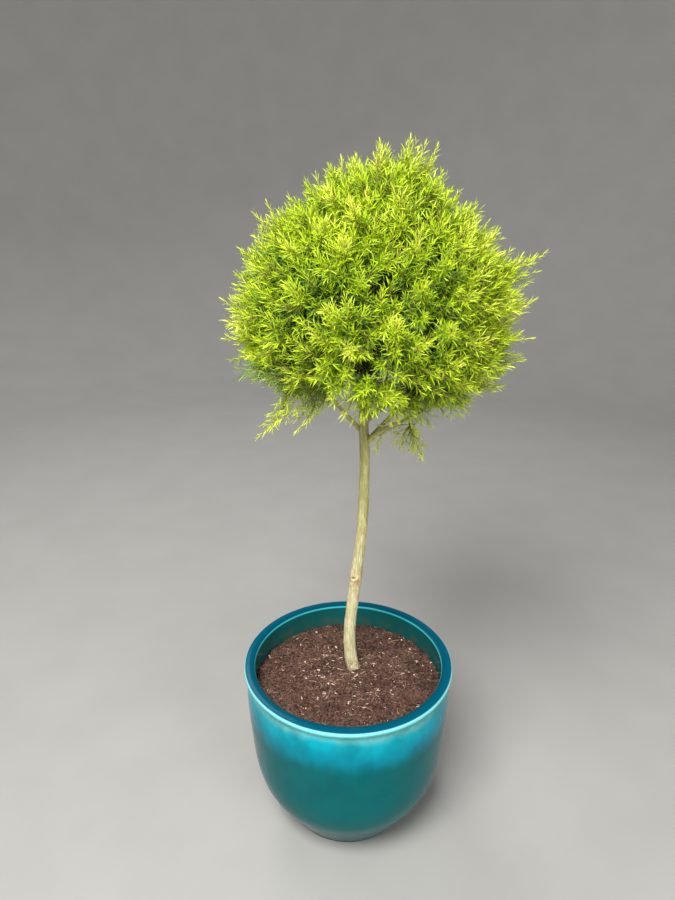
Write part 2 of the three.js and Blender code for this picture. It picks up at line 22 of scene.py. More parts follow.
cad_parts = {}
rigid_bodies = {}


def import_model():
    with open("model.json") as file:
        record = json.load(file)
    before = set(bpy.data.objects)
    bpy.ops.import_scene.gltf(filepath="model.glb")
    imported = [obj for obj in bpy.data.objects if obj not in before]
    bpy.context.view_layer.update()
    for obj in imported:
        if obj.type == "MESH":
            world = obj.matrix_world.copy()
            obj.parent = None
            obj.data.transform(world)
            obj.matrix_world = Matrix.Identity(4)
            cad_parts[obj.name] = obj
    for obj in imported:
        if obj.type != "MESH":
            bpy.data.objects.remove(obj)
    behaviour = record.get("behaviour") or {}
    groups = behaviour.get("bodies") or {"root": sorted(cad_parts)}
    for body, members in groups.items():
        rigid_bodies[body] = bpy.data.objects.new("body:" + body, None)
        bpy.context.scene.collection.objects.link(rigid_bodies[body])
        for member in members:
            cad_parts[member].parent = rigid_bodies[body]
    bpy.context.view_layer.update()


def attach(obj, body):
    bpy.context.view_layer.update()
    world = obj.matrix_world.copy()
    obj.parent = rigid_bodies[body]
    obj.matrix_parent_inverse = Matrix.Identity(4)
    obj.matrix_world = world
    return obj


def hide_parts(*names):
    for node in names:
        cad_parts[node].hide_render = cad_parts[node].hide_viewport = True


LOG = logging.getLogger("topiary")
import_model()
BODY = "root"

SEED = 7
GOLDEN = math.pi * (3 - math.sqrt(5))
FULL_TURN = 2 * math.pi
UP = np.array((0.0, 0.0, 1.0))

Array = np.ndarray
Material = bpy.types.Material
Piece = bpy.types.Object
Socket = bpy.types.NodeSocket
Colour = tuple[float, float, float, float]
Pair = tuple[float, float]
Triple = tuple[float, float, float]


class Purpose(Enum):
    """What a seeded number is for, so that each use has numbers of its own."""

    START = 2
    TURN = 3
    REACH = 5
    DRIFT = 6
    RISE = 7
    LENGTH = 8
    TONE = 9
    SIDE = 12
    GAP = 13
    BEND = 14


def chance(item: float, purpose: Purpose) -> float:
    """The same number from 0 to 1 each time for one item and one purpose."""
    wave = math.sin(item * 12.9898 + purpose.value * 78.233 + SEED) * 43758.5453
    return wave - math.floor(wave)


def lerp(low: float, high: float, share: float) -> float:
    """The value a share of the way from low to high."""
    return low + (high - low) * share


def unit(vector: Array) -> Array:
    """The vector, or each of several, at length 1."""
    return vector / np.maximum(np.linalg.norm(vector, axis=-1, keepdims=True), 1e-12)


def paint(red: int, green: int, blue: int) -> Colour:
    """A colour read off a screen, from 0 to 255 a channel, as Blender's linear colour."""
    shares = (value / 255 for value in (red, green, blue))
    return (*[c / 12.92 if c <= 0.04045 else ((c + 0.055) / 1.055) ** 2.4 for c in shares], 1.0)


def turned(vector: Array, axis: Array, angle: float) -> Array:
    """The vector turned round a unit axis by an angle in radians."""
    along = axis * float(axis @ vector)
    return along + (vector - along) * math.cos(angle) + np.cross(axis, vector) * math.sin(angle)


def heading(bearing: float, rise: float) -> Array:
    """The direction with this bearing and rise, both in degrees."""
    turn, tilt = math.radians(bearing), math.radians(rise)
    return np.array((*[math.cos(tilt) * part(turn) for part in (math.cos, math.sin)], math.sin(tilt)))


class Line:
    """A smooth path, kept as many close points and read by the share of its length."""

    def __init__(self, points: Array) -> None:
        """Measures the path.

        Args:
            points: Its points, in order.
        """
        steps = np.linalg.norm(np.diff(points, axis=0), axis=1)
        self.points = points
        self.marks = np.concatenate(([0.0], np.cumsum(steps)))
        self.length = float(self.marks[-1])

    def at(self, share: float | Array) -> Array:
        """The point, or points, at a share of the length."""
        distance = np.asarray(share, float) * self.length
        return np.stack([np.interp(distance, self.marks, axis) for axis in self.points.T], axis=-1)

    def towards(self, share: float | Array) -> Array:
        """The direction, or directions, at a share of the length."""
        before, after = (np.clip(np.asarray(share, float) + step, 0, 1) for step in (-0.01, 0.01))
        return unit(self.at(after) - self.at(before))

    def height_share(self, height: float) -> float:
        """The share of the length at which a rising path reaches a height."""
        return float(np.interp(height, self.points[:, 2], self.marks)) / self.length

    @classmethod
    def bezier(cls, *corners: Array, samples: int = 24) -> Line:
        """A Bezier curve through the first and the last of its corners.

        Args:
            *corners: Its ends and what pulls it between them.
            samples: How many points are kept.

        Returns:
            The curve.
        """
        share = np.linspace(0, 1, samples)[:, None]
        order = len(corners) - 1
        points = sum(
            math.comb(order, i) * share**i * (1 - share) ** (order - i) * corner
            for i, corner in enumerate(corners)
        )
        return cls(points)

    @classmethod
    def through(cls, knots: Sequence[Array], samples: int = 24) -> Line:
        """A centripetal curve through every knot, as the source draws its limbs.

        Args:
            knots: What it passes through.
            samples: How many points are kept between two knots.

        Returns:
            The curve.
        """
        knots = [np.asarray(knot, float) for knot in knots]
        ends = [2 * knots[0] - knots[1], *knots, 2 * knots[-1] - knots[-2]]
        share = np.linspace(0, 1, samples, endpoint=False)[:, None]
        spans = []
        for before, start, end, after in zip(ends, ends[1:], ends[2:], ends[3:]):
            gaps = [
                math.sqrt(np.linalg.norm(b - a))
                for a, b in ((before, start), (start, end), (end, after))
            ]
            pull = (start - before) / gaps[0] - (end - before) / (gaps[0] + gaps[1])
            push = (after - end) / gaps[2] - (after - start) / (gaps[1] + gaps[2])
            leave = (pull + (end - start) / gaps[1]) * gaps[1]
            arrive = (push + (end - start) / gaps[1]) * gaps[1]
            bend = -3 * start + 3 * end - 2 * leave - arrive
            curl = 2 * start - 2 * end + leave + arrive
            spans.append(start + leave * share + bend * share**2 + curl * share**3)
        spans.append(knots[-1][None, :])
        return cls(np.concatenate(spans))


class Graph:
    """Adds nodes to one node tree and joins them."""

    def __init__(self, tree: bpy.types.NodeTree) -> None:
        """Keeps the tree."""
        self.tree = tree

    def fill(self, socket: Socket, value: object) -> None:
        """Joins a socket to another one, or sets its value.

        Args:
            socket: The socket to fill.
            value: A socket to join it to, or a plain value.
        """
        if isinstance(value, Socket):
            self.tree.links.new(value, socket)
        else:
            socket.default_value = value

    def add(
        self,
        kind: str,
        settings: dict[str, object] | None = None,
        values: dict[str | int, object] | None = None,
    ) -> bpy.types.Node:
        """Adds one node.

        Args:
            kind: The node's type.
            settings: Its properties, which are set before its sockets are filled.
            values: A value or a source for each socket, by name or by place in use.

        Returns:
            The node.
        """
        node = self.tree.nodes.new(kind)
        for key, value in (settings or {}).items():
            setattr(node, key, value)
        used = [socket for socket in node.inputs if socket.enabled]
        for key, value in (values or {}).items():
            socket = used[key] if isinstance(key, int) else next(s for s in used if s.name == key)
            self.fill(socket, value)
        return node

    def first(
        self,
        kind: str,
        settings: dict[str, object] | None = None,
        values: dict[str | int, object] | None = None,
    ) -> Socket:
        """Adds one node and gives its first output in use."""
        node = self.add(kind, settings, values)
        return next(socket for socket in node.outputs if socket.enabled)

    def maths(self, operation: str, *values: object) -> Socket:
        """Adds a Math node on one to three values."""
        return self.first("ShaderNodeMath", {"operation": operation}, dict(enumerate(values)))

    def product(self, one: object, other: object) -> Socket:
        """Adds the product of two values."""
        return self.maths("MULTIPLY", one, other)

    def apart(self, vector: Socket) -> dict[str, Socket]:
        """Adds a vector's three parts, under X, Y and Z."""
        parts = self.add("ShaderNodeSeparateXYZ", None, {0: vector}).outputs
        return {axis: parts[axis] for axis in "XYZ"}

    def remap(
        self, value: object, low: object, high: object, to: Sequence[float] = (0, 1)
    ) -> Socket:
        """Adds a smooth map from the range low to high into another one."""
        sources = {0: value, 1: low, 2: high, 3: to[0], 4: to[1]}
        return self.first("ShaderNodeMapRange", {"interpolation_type": "SMOOTHSTEP"}, sources)

    def blend(self, share: object, under: object, over: object) -> Socket:
        """Adds a mix of two colours."""
        values = {"Factor": share, "A": under, "B": over}
        return self.first("ShaderNodeMix", {"data_type": "RGBA"}, values)


def mottle_group() -> bpy.types.NodeTree:
    """The blotches that glaze, bark and soil share: a mask of stretched noise.

    Returns:
        The shader group, built at its first use.
    """
    name = "mottle"
    if name in bpy.data.node_groups:
        return bpy.data.node_groups[name]
    tree = bpy.data.node_groups.new(name, "ShaderNodeTree")
    face = tree.interface
    face.new_socket(name="Stretch", in_out="INPUT", socket_type="NodeSocketVector")
    for label in ("Scale", "Detail", "Low", "High"):
        face.new_socket(name=label, in_out="INPUT", socket_type="NodeSocketFloat")
    face.new_socket(name="Mask", in_out="OUTPUT", socket_type="NodeSocketFloat")
    graph = Graph(tree)
    given = graph.add("NodeGroupInput").outputs
    place = graph.add("ShaderNodeTexCoord").outputs["Object"]
    sources = {0: place, 1: given["Stretch"]}
    drawn = graph.first("ShaderNodeVectorMath", {"operation": "MULTIPLY"}, sources)
    sources = {"Vector": drawn, "Scale": given["Scale"], "Detail": given["Detail"]}
    noise = graph.first("ShaderNodeTexNoise", None, sources)
    mask = graph.remap(noise, given["Low"], given["High"])
    graph.add("NodeGroupOutput", None, {"Mask": mask})
    return tree


@dataclass(frozen=True)
class Blotches:
    """How a mask of blotches is drawn.

    The scale says how many there are to a metre, the stretch how much closer they lie along each
    axis, the detail how many finer layers they have, and the span between which values of the
    noise the mask rises.
    """

    scale: float
    stretch: Triple = (1, 1, 1)
    detail: float = 4
    span: Pair = (0.35, 0.65)


class Surface(Graph):
    """A material in the making: its nodes and the shader that they feed."""

    def __init__(self, name: str, colour: Colour, roughness: float, **sockets: float) -> None:
        """Starts a material.

        Args:
            name: The finish's name.
            colour: Its base colour, until one is painted over it.
            roughness: How dull it is.
            **sockets: Further sockets of the shader, with underscores for spaces.
        """
        self.material = bpy.data.materials.new(name)
        self.material.use_nodes = True
        super().__init__(self.material.node_tree)
        self.shader = self.tree.nodes["Principled BSDF"]
        self.shader.inputs["Base Color"].default_value = colour
        self.shader.inputs["Roughness"].default_value = roughness
        for key, value in sockets.items():
            self.shader.inputs[key.replace("_", " ")].default_value = value

    def mottle(self, blotches: Blotches) -> Socket:
        """Adds a mask of blotches.

        Args:
            blotches: How they are drawn.

        Returns:
            The mask, from 0 to 1.
        """
        values = {"Stretch": blotches.stretch, "Scale": blotches.scale, "Detail": blotches.detail}
        values |= {"Low": blotches.span[0], "High": blotches.span[1]}
        return self.first("ShaderNodeGroup", {"node_tree": mottle_group()}, values)

    def place(self) -> Socket:
        """The Object coordinates."""
        return self.add("ShaderNodeTexCoord").outputs["Object"]

    def height(self) -> Socket:
        """The height above the pot's underside."""
        return self.apart(self.place())["Z"]

    def paint(self, colour: Socket) -> None:
        """Feeds the base colour."""
        self.fill(self.shader.inputs["Base Color"], colour)

    def dull(self, roughness: Socket) -> None:
        """Feeds the roughness."""
        self.fill(self.shader.inputs["Roughness"], roughness)

    def relief(self, height: Socket, depth: float, strength: float = 1.0) -> None:
        """Feeds the normal with a bump of a depth in metres."""
        values = {"Strength": strength, "Distance": depth, "Height": height}
        self.fill(self.shader.inputs["Normal"], self.first("ShaderNodeBump", None, values))


@dataclass(frozen=True)
class TealGlaze:
    """The pot's glossy glaze: turquoise, pale where it breaks over edges, deeper low down.

    Each pair of heights or widths is where one colour starts to give way to the next and where it
    has. Those of the rim are measured down from its top and inwards from its sides. The pale lines
    over the lip and along the rim's inner edge are thin glaze with a painted highlight on it, and
    the rim's top darkens inwards with painted shade.
    """

    rim_height: float
    outer_radius: float
    inner_radius: float
    rim: Colour = paint(0, 84, 108)
    # painted shade: the rim's top darkens to this colour towards its inner edge
    shade: Colour = paint(0, 72, 88)
    # pale thin glaze over the lip, brightened with a painted highlight
    edge: Colour = paint(140, 226, 226)
    # pale thin glaze along the rim's inner edge, brightened with a painted highlight
    inner_break_and_glint: Colour = paint(60, 186, 196)
    band: Colour = paint(112, 198, 202)
    bright: Colour = paint(10, 180, 198)
    upper: Colour = paint(0, 154, 178)
    lower: Colour = paint(0, 106, 108)
    deep: Colour = paint(0, 84, 92)
    foot: Colour = paint(44, 96, 94)
    inside: Colour = paint(22, 94, 92)
    dust: Colour = paint(78, 84, 66)
    roughness: Pair = (0.1, 0.2)
    specular: float = 0.07
    streaks: Blotches = Blotches(110, (1, 1, 0.12), 3, (0.34, 0.66))
    clouds: Blotches = Blotches(11, (1, 1, 0.6), 4, (0.25, 0.75))
    veils: Blotches = Blotches(20, (1, 1, 0.8), 5, (0.4, 0.7))
    dusting: Blotches = Blotches(45, (1, 1, 1), 5, (0.36, 0.66))
    waves: Blotches = Blotches(34, (1, 1, 0.45), 3, (0.2, 0.8))
    cloud_run: float = 0.012
    streak_run: float = 0.004
    upper_heights: Pair = (0.27, 0.322)
    bright_heights: Pair = (0.312, 0.35)
    band_heights: Pair = (0.344, 0.364)
    foot_heights: Pair = (0.11, -0.02)
    lining_heights: Pair = (0.285, 0.295)
    dust_heights: Pair = (0.358, 0.326)
    veil_share: float = 0.4
    streak_share: float = 0.14
    dust_share: float = 0.6
    lining_widths: Pair = (0.006, 0.003)
    rim_drops: Pair = (0.006, 0.003)
    shade_width: float = 0.004
    edge_widths: Pair = (0.003, 0.001)
    edge_drops: Pair = (0.0075, 0.0055)
    inner_break_widths: Pair = (0.0018, 0.0004)
    inner_break_drops: Pair = (0.007, 0.004)
    wave_depth: float = 0.0011
    wave_strength: float = 0.4

    def outside(self, surface: Surface, height: object, clouds: object) -> Socket:
        """Paints the pot's outer wall, where the colours ran down in streaks.

        Args:
            surface: The material in the making.
            height: The height above the pot's underside.
            clouds: The mask of broad clouds.

        Returns:
            The colour.
        """
        streaks = surface.mottle(self.streaks)
        run = surface.maths("MULTIPLY_ADD", clouds, self.cloud_run, height)
        run = surface.maths("MULTIPLY_ADD", streaks, self.streak_run, run)
        colour = surface.blend(surface.remap(run, *self.upper_heights), self.lower, self.upper)
        colour = surface.blend(surface.remap(run, *self.bright_heights), colour, self.bright)
        colour = surface.blend(surface.remap(run, *self.band_heights), colour, self.band)
        veil = surface.product(surface.mottle(self.veils), self.veil_share)
        colour = surface.blend(veil, colour, self.deep)
        colour = surface.blend(surface.remap(height, *self.foot_heights), colour, self.foot)
        return surface.blend(surface.product(streaks, self.streak_share), colour, self.foot)

    def lining(self, surface: Surface, height: object) -> Socket:
        """Paints the pot's inner wall, with dust of soil on it.

        Args:
            surface: The material in the making.
            height: The height above the pot's underside.

        Returns:
            The colour.
        """
        low = surface.remap(height, *self.dust_heights)
        dusty = surface.product(low, surface.mottle(self.dusting))
        return surface.blend(surface.product(dusty, self.dust_share), self.inside, self.dust)

    def under_rim(self, surface: Surface, height: object, drops: Pair) -> Socket:
        """The mask of what lies above two levels, given as drops from the rim's top."""
        start, end = drops
        return surface.remap(height, self.rim_height - start, self.rim_height - end)

    def material(self) -> Material:
        """Paints the glaze by height and by the distance from the pot's axis.

        Returns:
            The finished material.
        """
        surface = Surface("teal_glaze", self.upper, self.roughness[0], Specular_IOR_Level=self.specular)
        parts = surface.apart(surface.place())
        height = parts["Z"]
        squares = [surface.product(parts[axis], parts[axis]) for axis in "XY"]
        radius = surface.maths("SQRT", surface.maths("ADD", *squares))
        clouds = surface.mottle(self.clouds)
        start, end = self.lining_widths
        within = surface.product(
            surface.remap(radius, self.inner_radius + start, self.inner_radius + end),
            surface.remap(height, *self.lining_heights),
        )
        wall = surface.blend(
            within, self.outside(surface, height, clouds), self.lining(surface, height)
        )
        # the rim's top darkens from its outer side to its inner edge: painted shade
        ring = surface.remap(radius, self.outer_radius - self.shade_width, self.inner_radius)
        rim = surface.blend(ring, self.rim, self.shade)
        colour = surface.blend(self.under_rim(surface, height, self.rim_drops), wall, rim)
        # the pale line along the rim's inner edge: thin glaze with a painted highlight on it
        start, end = self.inner_break_widths
        inner_break_and_glint = surface.product(
            surface.remap(radius, self.inner_radius + start, self.inner_radius + end),
            self.under_rim(surface, height, self.inner_break_drops),
        )
        # the pale line over the lip: glaze that breaks thin there, with a painted highlight on it
        start, end = self.edge_widths
        edge = surface.product(
            surface.remap(radius, self.outer_radius - start, self.outer_radius - end),
            self.under_rim(surface, height, self.edge_drops),
        )
        colour = surface.blend(inner_break_and_glint, colour, self.inner_break_and_glint)
        surface.paint(surface.blend(edge, colour, self.edge))
        surface.dull(surface.remap(clouds, 0.0, 1.0, self.roughness))
        surface.relief(surface.mottle(self.waves), self.wave_depth, self.wave_strength)
        return surface.material


@dataclass(frozen=True)
class Earth:
    """Damp fibrous potting mix, or one of the kinds of bits in it."""

    name: str
    dark: Colour
    light: Colour
    roughness: float = 0.95
    grains: Blotches = Blotches(260, (1, 1, 1), 6, (0.38, 0.66))
    pores: Blotches = Blotches(520, (1, 1, 1), 5, (0.2, 0.8))
    patches: Blotches = Blotches(24, (1, 1, 1), 3, (0.3, 0.7))
    grain_share: float = 0.65
    patch_share: float = 0.35
    depth: float = 0.0012
    specular: float = 0.2

    def material(self) -> Material:
        """Mixes two browns in fine grains.

        Returns:
            The finished material.
        """
        surface = Surface(self.name, self.dark, self.roughness, Specular_IOR_Level=self.specular)
        grains = surface.product(surface.mottle(self.grains), self.grain_share)
        patches = surface.mottle(self.patches)
        share = surface.maths("MULTIPLY_ADD", patches, self.patch_share, grains)
        surface.paint(surface.blend(share, self.dark, self.light))
        surface.relief(surface.mottle(self.pores), self.depth)
        return surface.material


@dataclass(frozen=True)
class Bark:
    """Thin bark with fine lengthwise lines, greener high up, and a healed pruning scar.

    Each pair of heights is where an effect starts and where it is full. The reach of the lines and
    of the tinge is their share at the lower and at the upper height.
    """

    hole: Triple
    callus: Triple
    light: Colour = paint(255, 247, 206)
    green: Colour = paint(204, 203, 126)
    dark: Colour = paint(156, 144, 92)
    pink: Colour = paint(212, 148, 122)
    pit: Colour = paint(70, 56, 42)
    roughness: float = 0.72
    specular: float = 0.3
    lines: Blotches = Blotches(420, (1, 1, 0.09), 5, (0.34, 0.66))
    patches: Blotches = Blotches(150, (1, 1, 0.35), 5, (0.42, 0.6))
    specks: Blotches = Blotches(700, (1, 1, 0.5), 2, (0.58, 0.7))
    blushes: Blotches = Blotches(100, (1, 1, 0.4), 4, (0.5, 0.64))
    crumbs: Blotches = Blotches(460, (1, 1, 1), 3, (0.4, 0.6))
    frays: Blotches = Blotches(240, (1, 1, 0.6), 4, (0.3, 0.7))
    green_heights: Pair = (0.46, 0.8)
    green_reach: Pair = (0.12, 0.9)
    patch_share: float = 0.6
    green_share: float = 0.8
    line_heights: Pair = (0.44, 0.58)
    line_reach: Pair = (0.26, 0.56)
    speck_share: float = 0.5
    blush_from: Pair = (0.46, 0.56)
    blush_to: Pair = (0.62, 0.57)
    blush_share: float = 0.25
    blush_more: float = 0.45
    callus_size: float = 0.0085
    callus_share: float = 0.75
    hole_size: float = 0.0034
    soiled_heights: Pair = (0.372, 0.338)
    soiled_share: float = 0.8
    depth: float = 0.0009
    strength: float = 0.9

    def near(self, surface: Surface, place: Sequence[float], size: float) -> Socket:
        """The mask of a ragged spot.

        Args:
            surface: The material in the making.
            place: The spot's middle.
            size: Its radius.

        Returns:
            The mask, from 0 to 1.
        """
        settings = {"operation": "DISTANCE"}
        away = surface.add("ShaderNodeVectorMath", settings, {0: surface.place(), 1: place})
        frayed = surface.mottle(self.frays)
        reach = surface.maths("MULTIPLY_ADD", frayed, size * 0.7, away.outputs["Value"])
        return surface.remap(reach, size * 1.3, size * 0.7)

    def flush(self, surface: Surface, height: object) -> Socket:
        """The mask of the pink blush, which is strongest round the scar.

        Args:
            surface: The material in the making.
            height: The height above the pot's underside.

        Returns:
            The mask.
        """
        start = surface.remap(height, *self.blush_from)
        stretch = surface.product(start, surface.remap(height, *self.blush_to))
        share = surface.maths("MULTIPLY_ADD", stretch, self.blush_more, self.blush_share)
        return surface.product(surface.mottle(self.blushes), share)

    def material(self) -> Material:
        """Paints the lines, the green tinge and the scar.

        Returns:
            The finished material.
        """
        surface = Surface("stem_bark", self.light, self.roughness, Specular_IOR_Level=self.specular)
        height = surface.height()
        lines, specks = surface.mottle(self.lines), surface.mottle(self.specks)
        high = surface.remap(height, *self.green_heights, self.green_reach)
        tinge = surface.maths("MULTIPLY_ADD", surface.mottle(self.patches), self.patch_share, high)
        colour = surface.blend(surface.product(tinge, self.green_share), self.light, self.green)
        depth = surface.remap(height, *self.line_heights, self.line_reach)
        colour = surface.blend(surface.product(lines, depth), colour, self.dark)
        colour = surface.blend(surface.product(specks, self.speck_share), colour, self.dark)
        colour = surface.blend(self.flush(surface, height), colour, self.pink)
        worn = surface.product(self.near(surface, self.callus, self.callus_size), self.callus_share)
        colour = surface.blend(worn, colour, self.pink)
        low = surface.product(surface.remap(height, *self.soiled_heights), self.soiled_share)
        soiled = surface.product(low, surface.mottle(self.crumbs))
        colour = surface.blend(soiled, colour, self.pit)
        pitted = self.near(surface, self.hole, self.hole_size)
        surface.paint(surface.blend(pitted, colour, self.pit))
        surface.relief(surface.maths("MAXIMUM", lines, specks), self.depth, self.strength)
        return surface.material


class Tone(Enum):
    """The leaves' colours, from the deep shade inside the head to its lit tips."""

    DEEP = paint(34, 62, 12)
    MID = paint(74, 113, 34)
    FRESH = paint(124, 162, 32)
    BRIGHT = paint(170, 201, 20)
    LIME = paint(199, 223, 40)
    GOLD = paint(220, 232, 78)
    PALE = paint(146, 178, 88)

    @property
    def step(self) -> int:
        """The tone's place in the list."""
        return list(Tone).index(self)


@dataclass(frozen=True)
class LeafSkin:
    """The leaves' plain half-dull finish."""

    roughness: float = 0.5
    specular: float = 0.26

    def material(self, tone: Tone) -> Material:
        """The finish in one tone."""
        name = f"leaf_{tone.name.lower()}"
        return Surface(name, tone.value, self.roughness, Specular_IOR_Level=self.specular).material

    def materials(self) -> list[Material]:
        """One material for each tone, in the tones' order."""
        return [self.material(tone) for tone in Tone]


def place_mesh(name: str, mesh: bpy.types.Mesh) -> Piece:
    """Puts a mesh into the scene as an object at the origin.

    Args:
        name: The object's name.
        mesh: Its mesh.

    Returns:
        The object.
    """
    mesh.name = name
    piece = bpy.data.objects.new(name, mesh)
    bpy.context.scene.collection.objects.link(piece)
    return piece


def make_mesh(
    name: str,
    points: Array,
    faces: Iterable[Sequence[int]] = (),
    edges: Iterable[Sequence[int]] = (),
    material: Material | None = None,
) -> Piece:
    """Makes an object from points with faces or edges.

    Args:
        name: The object's name.
        points: One point to a row.
        faces: The points of each face.
        edges: The points of each loose edge.
        material: Its material, if it is a smooth piece that has one yet.

    Returns:
        The object.
    """
    mesh = bpy.data.meshes.new(name)
    mesh.from_pydata([tuple(map(float, p)) for p in points], list(edges), list(faces))
    mesh.update()
    if material:
        mesh.materials.append(material)
        mesh.shade_smooth()
    return place_mesh(name, mesh)


def finish_piece(piece: Piece, replaced: Sequence[str] = ()) -> None:
    """Rides a piece on the plant's body and hides what it stands for.

    Args:
        piece: The finished piece.
        replaced: The nodes that it stands for.
    """
    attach(piece, BODY)
    if replaced:
        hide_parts(*replaced)
    LOG.info("%s: %d faces", piece.name, len(piece.data.polygons))


class Tree(Graph):
    """A geometry node tree with named inputs, run once on a carrier object."""

    def __init__(self, name: str, inputs: dict[str, tuple[str, object]]) -> None:
        """Starts a tree.

        Args:
            name: What it makes.
            inputs: For each named input, the kind of its socket and its value.
        """
        super().__init__(bpy.data.node_groups.new(name, "GeometryNodeTree"))
        face = self.tree.interface
        face.new_socket(name="Geometry", in_out="INPUT", socket_type="NodeSocketGeometry")
        face.new_socket(name="Geometry", in_out="OUTPUT", socket_type="NodeSocketGeometry")
        self.keys: dict[str, str] = {}
        for label, (kind, value) in inputs.items():
            socket = face.new_socket(name=label, in_out="INPUT", socket_type=f"NodeSocket{kind}")
            if value is not None:
                socket.default_value = value
            self.keys[label] = socket.identifier
        self.given = self.add("NodeGroupInput").outputs

    def named(self, name: str, data_type: str = "FLOAT") -> Socket:
        """Reads a named attribute."""
        settings = {"data_type": data_type}
        return self.first("GeometryNodeInputNamedAttribute", settings, {"Name": name})

    def random(self, low: object, high: object, seed: object) -> Socket:
        """A random number for each element."""
        values = {"Min": low, "Max": high, "Seed": seed}
        return self.first("FunctionNodeRandomValue", {"data_type": "FLOAT"}, values)

    def step(self, kind: str, geometry: object, **values: object) -> Socket:
        """Passes geometry through one node, with further values under the names of its sockets."""
        sockets = {name.replace("_", " "): value for name, value in values.items()}
        return self.first(f"GeometryNode{kind}", None, {"Geometry": geometry, **sockets})

    def turn(self, rotation: object, axis: Sequence[float], angle: object) -> Socket:
        """Turns a rotation round one of its own axes."""
        values = {0: rotation, 1: self.first("FunctionNodeAxisAngleToRotation", None, {0: axis, 1: angle})}
        return self.first("FunctionNodeRotateRotation", {"rotation_space": "LOCAL"}, values)

    def close(self, geometry: Socket) -> None:
        """Ends the tree."""
        self.add("NodeGroupOutput", None, {"Geometry": geometry})

    def run(self, carrier: Piece, name: str, **inputs: object) -> Piece:
        """Runs the tree on a carrier and keeps the result as a plain mesh.

        Args:
            carrier: The object that holds what the tree starts from. It is removed.
            name: The finished piece's name.
            **inputs: Values of named inputs, with underscores for spaces.

        Returns:
            The finished piece.
        """
        modifier = carrier.modifiers.new(self.tree.name, "NODES")
        modifier.node_group = self.tree
        for label, value in inputs.items():
            modifier[self.keys[label.replace("_", " ")]] = value
        depsgraph = bpy.context.evaluated_depsgraph_get()
        mesh = bpy.data.meshes.new_from_object(carrier.evaluated_get(depsgraph))
        carrier.modifiers.remove(modifier)
        start = carrier.data
        bpy.data.objects.remove(carrier)
        bpy.data.meshes.remove(start)
        return place_mesh(name, mesh)


def revolve_tree() -> Tree:
    """Turns a section, given as points in the XZ plane, round the Z axis.

    Returns:
        The tree.
    """
    tree = Tree(
        "revolved_section",
        {
            "Rows": ("Int", 2),
            "Sides": ("Int", 64),
            "Material": ("Material", None),
        },
    )
    columns = tree.maths("ADD", tree.given["Sides"], 1)
    sizes = {"Size X": 1.0, "Size Y": 1.0, "Vertices X": tree.given["Rows"], "Vertices Y": columns}
    grid = tree.first("GeometryNodeMeshGrid", None, sizes)
    spot = tree.first("GeometryNodeInputPosition")
    parts = tree.apart(spot)
    last = tree.maths("SUBTRACT", tree.given["Rows"], 1)
    row = tree.maths("ROUND", tree.product(tree.maths("ADD", parts["X"], 0.5), last))
    section = tree.first(
        "GeometryNodeSampleIndex",
        {"data_type": "FLOAT_VECTOR"},
        {"Geometry": tree.given["Geometry"], "Value": spot, "Index": row},
    )
    drawn = tree.apart(section)
    angle = tree.product(tree.maths("ADD", parts["Y"], 0.5), FULL_TURN)
    across = tree.product(drawn["X"], tree.maths("COSINE", angle))
    deep = tree.product(drawn["X"], tree.maths("SINE", angle))
    place = tree.first("ShaderNodeCombineXYZ", None, {0: across, 1: deep, 2: drawn["Z"]})
    wall = tree.step("SetPosition", grid, Position=place)
    wall = tree.step("MergeByDistance", wall, Distance=1e-6)
    wall = tree.step("SetShadeSmooth", wall)
    wall = tree.step("RealizeInstances", wall)
    tree.close(tree.step("SetMaterial", wall, Material=tree.given["Material"]))
    return tree


def scatter_tree() -> Tree:
    """Strews copies of one small shape over the upper side of a surface.

    Returns:
        The tree.
    """
    tree = Tree(
        "strewn_bits",
        {
            "Bit": ("Object", None),
            "Density": ("Float", 1000.0),
            "Smallest": ("Float", 0.001),
            "Largest": ("Float", 0.003),
            "Tilt": ("Float", 3.14),
            "Gather": ("Float", 0.0),
            "Seed": ("Int", SEED),
            "Material": ("Material", None),
        },
    )
    given = tree.given
    facing = tree.first("GeometryNodeInputNormal")
    upward = tree.apart(facing)["Z"]
    place = tree.apart(tree.first("GeometryNodeInputPosition"))
    away = tree.maths("ADD", *[tree.product(place[axis], place[axis]) for axis in "XY"])
    crowd = tree.remap(away, 0.0, 0.02, (1.8, -0.4))
    crowd = tree.maths("MULTIPLY_ADD", crowd, given["Gather"], 1.0)
    spots = tree.first(
        "GeometryNodeDistributePointsOnFaces",
        {"distribute_method": "RANDOM"},
        {
            "Mesh": given["Geometry"],
            "Selection": tree.maths("GREATER_THAN", upward, 0.5),
            "Density": tree.product(given["Density"], crowd),
            "Seed": given["Seed"],
        },
    )
    lean = tree.random(tree.product(given["Tilt"], -1.0), given["Tilt"], 1)
    upright = tree.first("FunctionNodeAxisAngleToRotation", None, {0: (0, 0, 1), 1: 0.0})
    rotation = tree.turn(upright, (0, 0, 1), tree.random(0.0, FULL_TURN, 2))
    rotation = tree.turn(rotation, (1, 0, 0), lean)
    few_large = tree.maths("POWER", tree.random(0.0, 1.0, 3), 2.5)
    range_of_sizes = tree.maths("SUBTRACT", given["Largest"], given["Smallest"])
    size = tree.maths("MULTIPLY_ADD", few_large, range_of_sizes, given["Smallest"])
    bit = tree.add("GeometryNodeObjectInfo", None, {"Object": given["Bit"]}).outputs["Geometry"]
    values = {"Points": spots, "Instance": bit, "Rotation": rotation, "Scale": size}
    strewn = tree.first("GeometryNodeInstanceOnPoints", None, values)
    strewn = tree.step("RealizeInstances", strewn)
    tree.close(tree.step("SetMaterial", strewn, Material=given["Material"]))
    return tree


